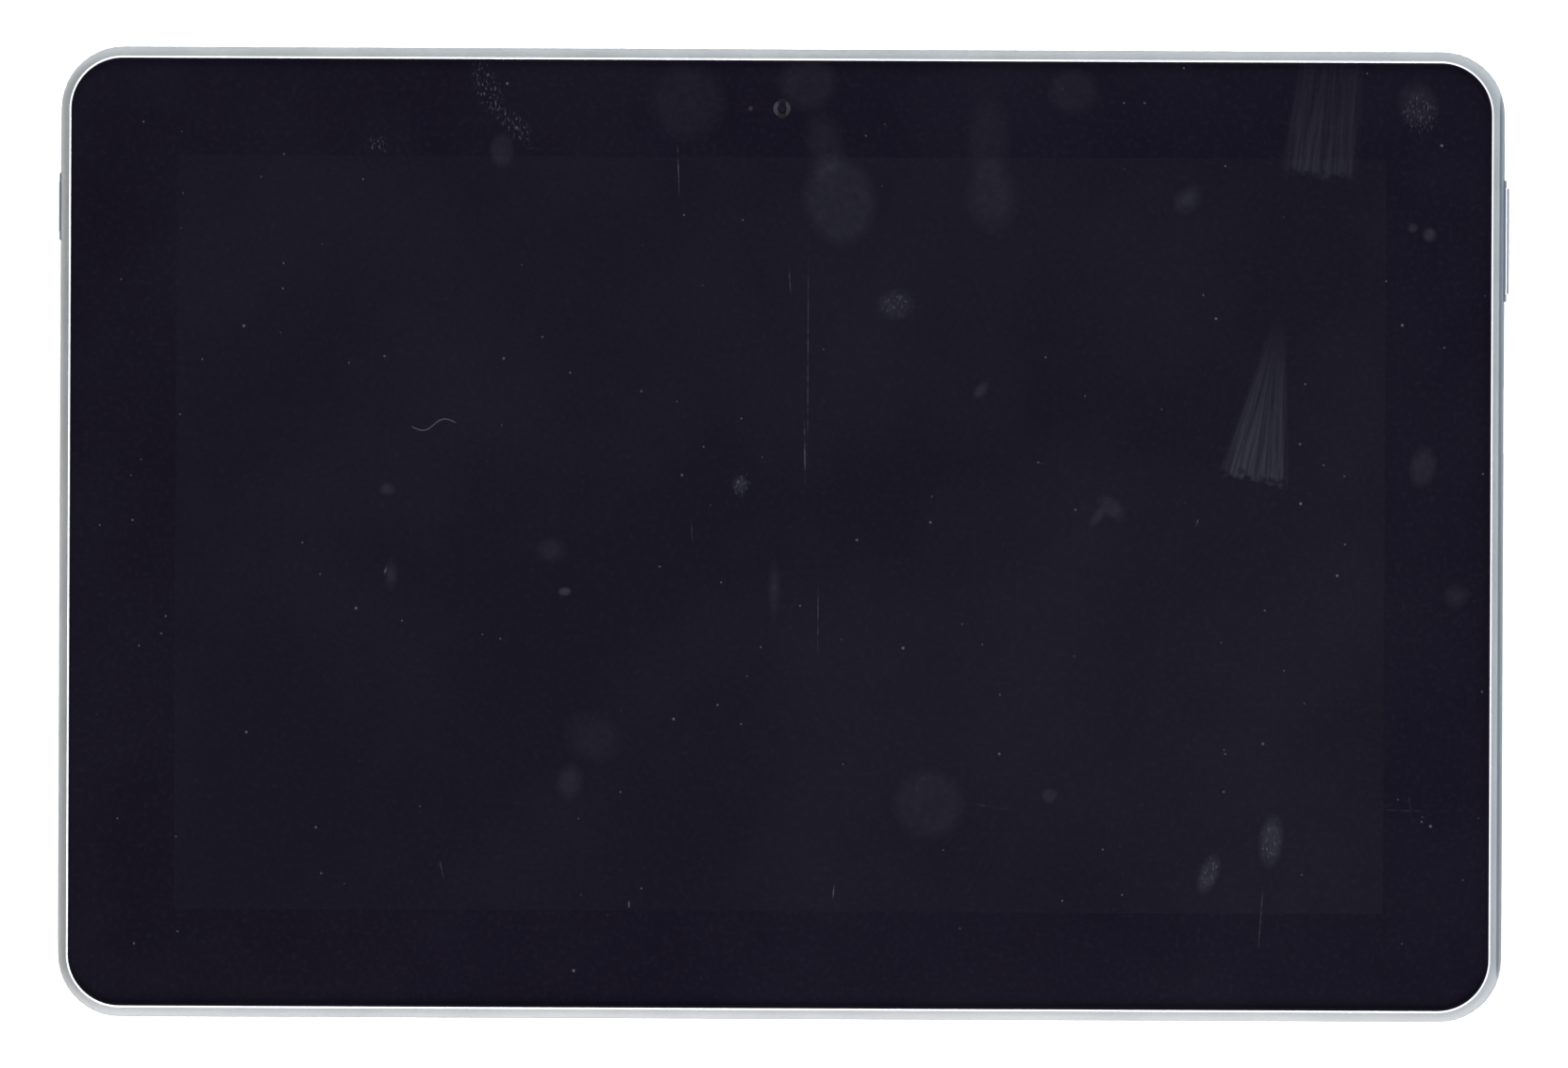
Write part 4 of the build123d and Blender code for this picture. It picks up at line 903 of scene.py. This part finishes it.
# %% Boards and flexible circuits
def circuit_board(name, dark, light, track_mm=0.5):
    """Lacquered board: copper tracks show as paler lines, and solder points as small gold dots."""
    material, tree, shader, place = blank(name)
    turned_place = node(tree, "ShaderNodeMapping", {"Vector": place, "Rotation": (0, 0, math.radians(45))})
    tracks = [node(tree, "ShaderNodeTexBrick",
                   {"Vector": way, "Scale": 1.0, "Mortar Size": 0.1 * track_mm * MM,
                    "Brick Width": 9 * track_mm * MM, "Row Height": track_mm * MM},
                   offset=0.37).outputs["Fac"]
              for way in (place, turned_place.outputs[0])]
    chooser = maths(tree, "GREATER_THAN", noise(tree, place, 9.0, 1.0), 0.5)
    lines = node(tree, "ShaderNodeMix", {0: chooser, 2: tracks[0], 3: tracks[1]},
                 data_type="FLOAT").outputs[0]
    points = node(tree, "ShaderNodeTexVoronoi", {"Vector": place, "Scale": 1 / (1.7 * MM)})
    dots = maths(tree, "LESS_THAN", points.outputs["Distance"], 0.14)
    lacquer = blend(tree, lines, (*dark, 1), (*light, 1))
    colour = blend(tree, dots, lacquer, (0.75, 0.52, 0.16, 1))
    shade(shader, {"Base Color": colour, "Metallic": maths(tree, "MULTIPLY", dots, 0.9),
                   "Roughness": spread(tree, noise(tree, place, 2.0), 0.28, 0.42),
                   "Normal": bump(tree, maths(tree, "ADD", lines, dots), 0.25, 0.02)})
    return material


def flexible_circuit(name, dark, light, across=(1, 0, 0)):
    """Polyimide film over copper: close parallel tracks that show through as stripes."""
    material, tree, shader, place = blank(name)
    flow = node(tree, "ShaderNodeVectorMath", {0: place, 1: across},
                operation="DOT_PRODUCT").outputs["Value"]
    wave = maths(tree, "SINE", maths(tree, "MULTIPLY", flow, 2 * math.pi / (0.35 * MM)))
    tracks = spread(tree, wave, 0.0, 1.0, -0.3, 0.3)
    colour = blend(tree, tracks, (*dark, 1), (*light, 1))
    shade(shader, {"Base Color": colour, "Roughness": spread(tree, noise(tree, place, 1.5), 0.22, 0.38),
                   "Specular IOR Level": 0.55, "Normal": bump(tree, tracks, 0.25, 0.012)})
    return material


# %% Foam, tape and pouches
def cellular(name, dark, light, cell_mm, depth_mm, rough, metal=0.0, strength=0.5):
    """A surface of small closed cells: foam, or the dimpled foil of a battery pouch."""
    material, tree, shader, place = blank(name)
    cells = node(tree, "ShaderNodeTexVoronoi",
                 {"Vector": place, "Scale": 1 / (cell_mm * MM)}).outputs["Distance"]
    folds = noise(tree, place, 14.0, 4.0, (1, 3, 1))
    shade(shader, {"Base Color": two_tone(tree, cells, dark, light, 0.1, 0.7), "Metallic": metal,
                   "Roughness": spread(tree, noise(tree, place, cell_mm * 4), *rough),
                   "Normal": bump(tree, cells, strength, depth_mm, bump(tree, folds, 0.25, 0.25))})
    return material


# %% Woven mesh
def woven_wire():
    """Fine wire cloth over a sound opening: two sets of round wires at right angles."""
    material, tree, shader, place = blank("woven wire")
    parts = node(tree, "ShaderNodeSeparateXYZ", {0: place})
    turns = 2 * math.pi / (0.16 * MM)
    warp = maths(tree, "SINE", maths(tree, "MULTIPLY", parts.outputs["X"], turns))
    weft = maths(tree, "SINE", maths(tree, "MULTIPLY", parts.outputs["Y"], turns))
    over = maths(tree, "MAXIMUM", warp, weft)
    shade(shader, {"Base Color": two_tone(tree, over, (0.006, 0.006, 0.007), (0.09, 0.09, 0.095), 0.1, 0.9),
                   "Metallic": 0.6, "Roughness": spread(tree, over, 0.7, 0.4),
                   "Normal": bump(tree, over, 0.6, 0.03)})
    return material


# %% Parts with a recipe of their own
GREEN = ((0.008, 0.060, 0.028), (0.016, 0.110, 0.050))
BLUE_GREEN = ((0.006, 0.040, 0.055), (0.012, 0.075, 0.095))
AMBER = ((0.42, 0.18, 0.035), (0.58, 0.28, 0.06))
DARK_FLEX = ((0.030, 0.022, 0.016), (0.060, 0.045, 0.030))

FINISHES = {
    "rear_cover": back_plastic,
    "front_frame": rim_metal,
    "power_button": key_metal("power key metal", POWER_OUT),
    "volume_rocker": key_metal("volume key metal", VOLUME_OUT),
    "touch_sensor": touch_film(),
    "main_board": circuit_board("green board", *GREEN),
    "battery_board": circuit_board("green battery board", *GREEN, track_mm=0.7),
    "audio_board": circuit_board("blue-green board", *BLUE_GREEN),
    "side_board": circuit_board("blue-green side board", *BLUE_GREEN, track_mm=0.6),
    "port_board": circuit_board("green port board", *GREEN, track_mm=0.6),
    "display_flex": flexible_circuit("amber display flex", *AMBER),
    "battery_lead": flexible_circuit("amber battery flex", *AMBER),
    "port_flex": flexible_circuit("amber port flex", *AMBER),
    "touch_flex": flexible_circuit("amber touch flex", *AMBER),
    "side_flexes": flexible_circuit("amber side flex", *AMBER, across=(0, 1, 0)),
    "camera_flex": flexible_circuit("dark camera flex", *DARK_FLEX),
    "battery_cell_left": cellular("pouch foil left", (0.56, 0.57, 0.59), (0.68, 0.69, 0.71), 1.4, 0.05,
                                  (0.28, 0.42), 0.9, 0.3),
    "battery_cell_right": cellular("pouch foil right", (0.55, 0.56, 0.58), (0.67, 0.68, 0.70), 1.4, 0.05,
                                   (0.28, 0.42), 0.9, 0.3),
    "dust_gaskets": cellular("black foam", (0.010, 0.010, 0.010), (0.028, 0.028, 0.028), 0.12, 0.03,
                             (0.85, 0.95)),
    "glass_adhesive": cellular("adhesive foam", (0.012, 0.012, 0.013), (0.030, 0.030, 0.031), 0.18, 0.02,
                               (0.7, 0.85)),
    "speaker_gaskets": cellular("speaker foam", (0.012, 0.012, 0.012), (0.034, 0.034, 0.034), 0.25, 0.05,
                                (0.85, 0.95)),
    "speaker_meshes": woven_wire(),
}

# % [markdown]
# The other parts need only two close tones and a grain, so each is one row of a table: the name of
# the finish, its dark and its light tone, the range of its roughness, how metallic it is, the size
# of its clouds and of its grain in millimetres, and whatever else differs from the common recipe.

# % Table of plain finishes
PLAIN = {
    "battery_tape": ("black tape", (0.030, 0.030, 0.032), (0.045, 0.045, 0.048), (0.35, 0.5), 0.0, 8.0,
        0.4, {"depth_mm": 0.02}),
    "antennas": ("copper foil carrier", (0.020, 0.020, 0.021), (0.62, 0.33, 0.17), (0.25, 0.40), 0.5, 5,
        0.3, {}),
    "antenna_cables": ("cable jacket", (0.012, 0.012, 0.012), (0.022, 0.022, 0.022), (0.35, 0.5), 0.0, 3,
        0.12, {}),
    "backlight_tray": ("pressed steel", (0.52, 0.52, 0.51), (0.64, 0.64, 0.63), (0.22, 0.36), 1.0, 20,
        0.08, {"stretch": (30, 1, 1)}),
    "board_connectors": ("cream nylon", (0.62, 0.59, 0.49), (0.72, 0.69, 0.58), (0.40, 0.52), 0.0, 8.0,
        0.1, {}),
    "board_screws": ("black zinc steel", (0.10, 0.10, 0.105), (0.20, 0.20, 0.21), (0.28, 0.42), 1.0, 0.8,
        0.05, {}),
    "chassis_screws": ("plain zinc steel", (0.50, 0.50, 0.49), (0.66, 0.66, 0.66), (0.22, 0.36), 1.0, 0.8,
        0.05, {}),
    "card_reader": ("stainless sheet", (0.58, 0.58, 0.57), (0.72, 0.72, 0.71), (0.20, 0.32), 1.0, 4, 0.05,
        {"stretch": (1, 20, 1)}),
    "colour_filter_pane": ("filter glass", (0.020, 0.019, 0.024), (0.030, 0.029, 0.036), (0.05, 0.12),
        0.0, 40, 0.1, {"depth_mm": 0.001}),
    "tft_pane": ("transistor glass", (0.024, 0.026, 0.030), (0.040, 0.042, 0.046), (0.05, 0.12), 0.0, 40,
        0.1, {"depth_mm": 0.001}),
    "driver_chip": ("bare silicon", (0.10, 0.10, 0.12), (0.16, 0.16, 0.19), (0.08, 0.16), 0.6, 2, 0.05,
        {"depth_mm": 0.001}),
    "front_camera": ("front camera barrel", (0.010, 0.010, 0.011), (0.020, 0.020, 0.022), (0.40, 0.55),
        0.0, 1.5, 0.06, {}),
    "rear_camera": ("rear camera barrel", (0.010, 0.010, 0.011), (0.020, 0.020, 0.022), (0.40, 0.55), 0.0,
        1.5, 0.06, {}),
    "headphone_jack": ("black nylon", (0.030, 0.030, 0.033), (0.050, 0.050, 0.055), (0.38, 0.52), 0.0, 4,
        0.10, {}),
    "light_bar": ("light bar", (0.70, 0.66, 0.42), (0.85, 0.82, 0.62), (0.25, 0.4), 0.0, 3, 0.1, {}),
    "light_guide": ("clear acrylic guide", (0.72, 0.74, 0.75), (0.80, 0.82, 0.83), (0.05, 0.15), 0.0, 30,
        0.5, {"depth_mm": 0.01}),
    "light_sensor": ("smoked sensor lens", (0.020, 0.012, 0.016), (0.034, 0.020, 0.026), (0.08, 0.16),
        0.0, 1, 0.05, {"depth_mm": 0.001}),
    "memory_chips": ("memory chip epoxy", (0.022, 0.022, 0.024), (0.034, 0.034, 0.037), (0.50, 0.65), 0.0,
        3, 0.08, {}),
    "power_chip": ("power chip epoxy", (0.020, 0.020, 0.021), (0.030, 0.030, 0.032), (0.50, 0.65), 0.0, 3,
        0.08, {}),
    "processor": ("processor lid", (0.085, 0.088, 0.095), (0.125, 0.128, 0.135), (0.30, 0.45), 0.4, 4,
        0.06, {}),
    "microphone": ("microphone can", (0.66, 0.60, 0.42), (0.76, 0.70, 0.50), (0.22, 0.34), 1.0, 1.5, 0.05,
        {}),
    "mid_frame": ("cast magnesium", (0.33, 0.33, 0.32), (0.43, 0.43, 0.42), (0.40, 0.58), 0.9, 10, 0.3,
        {"depth_mm": 0.03}),
    "optical_films": ("diffuser film", (0.74, 0.75, 0.76), (0.82, 0.83, 0.84), (0.30, 0.45), 0.0, 30,
        0.08, {"depth_mm": 0.004}),
    "polarisers": ("polariser film", (0.014, 0.012, 0.018), (0.022, 0.019, 0.027), (0.15, 0.25), 0.0, 40,
        0.08, {"depth_mm": 0.001}),
    "reflector_sheet": ("white reflector", (0.82, 0.82, 0.81), (0.88, 0.88, 0.87), (0.30, 0.45), 0.0, 30,
        0.2, {}),
    "rocker_bracket": ("bracket nylon", (0.045, 0.045, 0.048), (0.065, 0.065, 0.070), (0.40, 0.52), 0.0,
        3, 0.1, {}),
    "rocker_pin": ("ground steel pin", (0.55, 0.55, 0.55), (0.70, 0.70, 0.70), (0.12, 0.22), 1.0, 1, 0.03,
        {"stretch": (1, 1, 20)}),
    "shield_cans": ("tinned shield", (0.56, 0.56, 0.55), (0.70, 0.70, 0.69), (0.22, 0.36), 1.0, 6, 0.07,
        {"stretch": (12, 1, 1)}),
    "side_switches": ("switch body", (0.035, 0.035, 0.038), (0.060, 0.060, 0.064), (0.35, 0.5), 0.0, 2,
        0.1, {}),
    "speaker_membranes": ("speaker cone", (0.030, 0.030, 0.032), (0.048, 0.048, 0.050), (0.35, 0.5), 0.0,
        3, 0.15, {}),
    "speakers": ("speaker box", (0.030, 0.030, 0.033), (0.046, 0.046, 0.050), (0.42, 0.56), 0.0, 6, 0.12,
        {}),
    "usb_shell": ("deep-drawn steel", (0.55, 0.55, 0.54), (0.70, 0.70, 0.69), (0.18, 0.30), 1.0, 2, 0.05,
        {"stretch": (1, 20, 1)}),
    "usb_tongue": ("socket tongue", (0.020, 0.020, 0.021), (0.034, 0.034, 0.036), (0.40, 0.52), 0.0, 1.5,
        0.06, {}),
    "wireless_module": ("wireless shield", (0.56, 0.56, 0.55), (0.68, 0.68, 0.67), (0.24, 0.38), 1.0, 4,
        0.07, {"stretch": (1, 12, 1)}),
}
for part_name, (label, dark, light, rough, metal, tone_mm, grain_mm, rest) in PLAIN.items():
    FINISHES[part_name] = finish(label, dark, light, rough, metal, tone_mm, grain_mm, **rest)
print(len(PLAIN), "plain finishes")

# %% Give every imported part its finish
for part_name, material in FINISHES.items():
    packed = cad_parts[part_name]
    packed.data.materials.clear()
    packed.data.materials.append(material)
print(len(FINISHES), "parts finished; left:",
      sorted(set(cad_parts) - set(FINISHES)))

# %% [markdown]
# ## Camera lenses
#
# A lens is a domed, coated piece of glass in a stepped black barrel. The dome matters because it
# gathers the light of the whole room into a small bright spot. It is turned like on a lathe: a
# circle is filled, then extruded and scaled ring by ring until it closes near the middle.

# %% Domed lenses


def dome_profile(radius, base, height, rings=7):
    """The rings of a shallow dome that stands on a short straight edge."""
    rows = [(radius, 0.0), (radius, base)]
    for step in range(1, rings + 1):
        angle = math.radians(88) * step / rings
        rows.append((radius * math.cos(angle), base + height * math.sin(angle)))
    return rows


def lens_glass():
    """Coated lens: almost black, with a faint violet bloom in soft patches."""
    material, tree, shader, place = blank("coated lens")
    bloom = noise(tree, place, 1.1, 2.0)
    shade(shader, {"Base Color": two_tone(tree, bloom, (0.0025, 0.0022, 0.004), (0.006, 0.004, 0.012)),
                   "Roughness": spread(tree, bloom, 0.03, 0.06), "Specular IOR Level": 0.75,
                   "Coat Weight": 0.6, "Coat Roughness": 0.03,
                   "Normal": bump(tree, bloom, 0.02, 0.002)})
    return material


lens_material = lens_glass()
lens_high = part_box("camera_lenses")[1]
FRONT_LENS_RADIUS = 0.68 * MM
REAR_LENS_RADIUS = 2.15 * MM
FRONT_LENS_DEPTH = 0.50 * MM
REAR_LENS_HEIGHT = 1.34 * MM
FRONT_RING_DEPTH = 0.52 * MM
REAR_RING_HEIGHT = 1.33 * MM
front_lens = turned("front_lens", 0, front_camera_y, lens_high[2] - FRONT_LENS_DEPTH,
                    dome_profile(FRONT_LENS_RADIUS, 0.10 * MM, 0.20 * MM))
done(front_lens, 60)
rear_lens = turned("rear_lens", 0, rear_camera_y, REAR_LENS_HEIGHT,
                   dome_profile(REAR_LENS_RADIUS, 0.06 * MM, 0.32 * MM), way=-1)
done(rear_lens, 60)
for lens in (front_lens, rear_lens):
    lens.data.materials.append(lens_material)
    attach(lens, "housing")
    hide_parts("camera_lenses")

# %% [markdown]
# Around the front lens sits a satin ring, cut away above and below so that two crescents are left
# beside the lens. Around the rear lens the barrel narrows in two steps.

# %% Lens rings
BARREL_STEPS = [(1.66, 0.0), (1.66, 0.44), (1.60, 0.50), (0.84, 0.42),
                (0.80, 0.36), (0.80, 0.0), (1.66, 0.0)]
CRESCENT_GAP = 0.72 * MM
front_barrel = turned("front_lens_ring", 0, front_camera_y, lens_high[2] - FRONT_RING_DEPTH,
                      [(r * MM, z * MM) for r, z in BARREL_STEPS], close_middle=False, steps=64)
done(front_barrel)
gap = box_between("gap", (-CRESCENT_GAP, CRESCENT_GAP), (front_camera_y - 3 * MM, front_camera_y + 3 * MM),
                  (lens_high[2] - 1.5 * MM, lens_high[2] + 1.5 * MM))
join_on(front_barrel, gap, "DIFFERENCE")
front_barrel.data.materials.append(
    finish("lens ring satin", (0.016, 0.015, 0.019), (0.028, 0.026, 0.033), (0.40, 0.55), 0.1,
           tone_mm=0.8, grain_mm=0.05, depth_mm=0.002, extra={"Specular IOR Level": 0.2}))
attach(front_barrel, "housing")

REAR_STEPS = [(3.15, 0.0), (3.15, 0.30), (2.95, 0.36), (2.55, 0.36), (2.45, 0.26), (2.30, 0.26),
              (2.24, 0.12), (2.24, 0.0), (3.15, 0.0)]
rear_barrel = turned("rear_lens_ring", 0, rear_camera_y, REAR_RING_HEIGHT,
                     [(r * MM, z * MM) for r, z in REAR_STEPS], way=-1, close_middle=False, steps=64)
done(rear_barrel)
rear_barrel.data.materials.append(
    finish("rear barrel steps", (0.014, 0.014, 0.015), (0.024, 0.024, 0.026), (0.35, 0.5),
           tone_mm=1, grain_mm=0.05, depth_mm=0.004))
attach(rear_barrel, "housing")

# %% [markdown]
# ## Trim ring and window on the back
#
# The rear camera looks out through a small glass window in a turned metal ring. The ring's lip is
# rounded and stands a hair proud of the shell, so its profile is drawn with a quarter round.

# %% Trim ring
ring_outer = (ring_high[0] - ring_low[0]) / 2
ring_inner = 3.68 * MM
ring_depth = ring_high[2] - ring_low[2]
RING_PROFILE = [(ring_outer, ring_depth), (ring_outer, 0.16 * MM), (ring_outer - 0.05 * MM, 0.06 * MM),
                (ring_outer - 0.16 * MM, 0.0), (ring_inner + 0.55 * MM, 0.0),
                (ring_inner + 0.42 * MM, 0.04 * MM),
                (ring_inner + 0.10 * MM, 0.16 * MM), (ring_inner, 0.24 * MM), (ring_inner, ring_depth),
                (ring_outer, ring_depth)]
trim_ring = turned("trim_ring", 0, rear_camera_y, ring_low[2], RING_PROFILE, close_middle=False, steps=96)
done(trim_ring)


def turned_metal():
    """Lathe-turned metal: fine concentric lines about the ring's own axis."""
    material, tree, shader, place = blank("turned ring metal")
    centred = node(tree, "ShaderNodeVectorMath", {0: place, 1: (0, rear_camera_y, 0)},
                   operation="SUBTRACT").outputs[0]
    flat = node(tree, "ShaderNodeVectorMath", {0: centred, 1: (1, 1, 0)}, operation="MULTIPLY").outputs[0]
    radius = node(tree, "ShaderNodeVectorMath", {0: flat}, operation="LENGTH").outputs["Value"]
    lines = maths(tree, "SINE", maths(tree, "MULTIPLY", radius, 2 * math.pi / (0.07 * MM)))
    clouds = noise(tree, place, 2.0)
    shade(shader, {"Base Color": two_tone(tree, clouds, (0.52, 0.53, 0.55), (0.62, 0.63, 0.65)),
                   "Metallic": 1.0, "Roughness": spread(tree, lines, 0.20, 0.30, -1.0, 1.0),
                   "Normal": bump(tree, lines, 0.08, 0.004)})
    return material


trim_ring.data.materials.append(turned_metal())
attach(trim_ring, "housing")
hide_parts("rear_ring")

# %% Window with its printed rim
window_radius = (window_high[0] - window_low[0]) / 2
window_depth = window_high[2] - window_low[2]
window = turned("lens_window", 0, rear_camera_y, window_low[2],
                [(window_radius, window_depth), (window_radius, 0.05 * MM),
                 (window_radius - 0.05 * MM, 0.0), (0.2 * MM, 0.0)], steps=96)
done(window)

window.data.materials.append(clear_glass("window glass", 1.5))
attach(window, "housing")
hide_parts("rear_window")

window_print = turned("window_print", 0, rear_camera_y, window_high[2] + 0.02 * MM,
                      [(window_radius - 0.1 * MM, 0.0), (window_radius - 0.1 * MM, 0.03 * MM),
                       (2.75 * MM, 0.03 * MM), (2.60 * MM, 0.0), (window_radius - 0.1 * MM, 0.0)],
                      close_middle=False, steps=96)
done(window_print)
window_print.data.materials.append(border_ink_and_gap_shade)
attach(window_print, "housing")

# %% [markdown]
# ## Contacts in the sockets
#
# Five gilded strips lie on the tongue of the charging socket, and two curved springs reach into
# the bore of the headphone socket. A loop makes each strip the same way, one step further along.

# %% Gilded contacts
gold = finish("gilded contact", (0.78, 0.55, 0.20), (0.88, 0.66, 0.28), (0.16, 0.28), 1.0,
              tone_mm=1, grain_mm=0.03, stretch=(1, 12, 1), depth_mm=0.002)
CONTACT_PITCH = 0.65 * MM
CONTACT_WIDTH = 0.34 * MM
CONTACT_COUNT = 5
tongue_depth = tongue_high[1] - tongue_low[1]
tongue_middle_x = (tongue_low[0] + tongue_high[0]) / 2
for count in range(CONTACT_COUNT):
    x = tongue_middle_x + (count - (CONTACT_COUNT - 1) / 2) * CONTACT_PITCH
    strip = add_primitive(bpy.ops.mesh.primitive_cube_add, "usb_contact_%d" % (count + 1), size=1,
                          location=(x, tongue_low[1] + 0.46 * tongue_depth, tongue_low[2] - 0.03 * MM))
    strip.scale = (CONTACT_WIDTH, 0.78 * tongue_depth, 0.06 * MM)
    bpy.ops.object.transform_apply(location=False, rotation=False, scale=True)
    edit(strip, "EDGE")
    pick(strip, lambda e: abs(middle(e).y) > 0.3 * tongue_depth and middle(e).z < -0.01 * MM, "edges")
    bpy.ops.mesh.bevel(offset=0.05 * MM, segments=2, affect="EDGES")
    done(strip)
    strip.data.materials.append(gold)
    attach(strip, "housing")

# %% Springs of the headphone socket
JACK_BORE = 1.8 * MM
JACK_Y = 24.9 * MM
JACK_Z = 3.425 * MM
JACK_MOUTH_X = -128.5 * MM
SPRING_DEPTHS = (3.2, 7.4)
for count, depth_mm in enumerate(SPRING_DEPTHS):
    spring = add_primitive(bpy.ops.mesh.primitive_plane_add, "jack_spring_%d" % (count + 1), size=1,
                           location=(JACK_MOUTH_X + depth_mm * MM, JACK_Y, JACK_Z + JACK_BORE - 0.25 * MM))
    spring.scale = (2.2 * MM, 1.1 * MM, 1)
    bpy.ops.object.transform_apply(location=False, rotation=False, scale=True)
    edit(spring, "VERT")
    bpy.ops.mesh.select_all(action="SELECT")
    bpy.ops.mesh.subdivide(number_cuts=3)
    bpy.ops.mesh.select_all(action="DESELECT")
    pick(spring, lambda v: abs(v.co.x) < 0.3 * MM, "verts")
    bpy.ops.transform.translate(value=(0, 0, -0.35 * MM), use_proportional_edit=True,
                                proportional_edit_falloff="SMOOTH", proportional_size=1.0 * MM)
    bpy.ops.mesh.select_all(action="SELECT")
    bpy.ops.mesh.extrude_region_move(TRANSFORM_OT_translate={"value": (0, 0, 0.12 * MM)})
    done(spring)
    spring.data.materials.append(gold)
    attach(spring, "housing")

# %% [markdown]
# ## The table
#
# A large white sheet, a shade uneven so that it isn't dead flat. It is wide enough to fill the
# view, and it throws light back up under the rim.

# %% Floor
FLOOR_SIZE = 6
FLOOR_GAP = 0.0002
floor = add_primitive(bpy.ops.mesh.primitive_plane_add, "floor", size=FLOOR_SIZE,
                      location=(0, 0, cad_box[0][2] - FLOOR_GAP))
edit(floor)
bpy.ops.mesh.select_all(action="SELECT")
bpy.ops.mesh.subdivide(number_cuts=4)
bpy.ops.object.mode_set(mode="OBJECT")
floor.data.materials.append(finish("white table", (0.95, 0.945, 0.94), (0.97, 0.965, 0.96), (0.85, 0.95),
                                   tone_mm=60, grain_mm=0.5, depth_mm=0.01, strength=0.05))
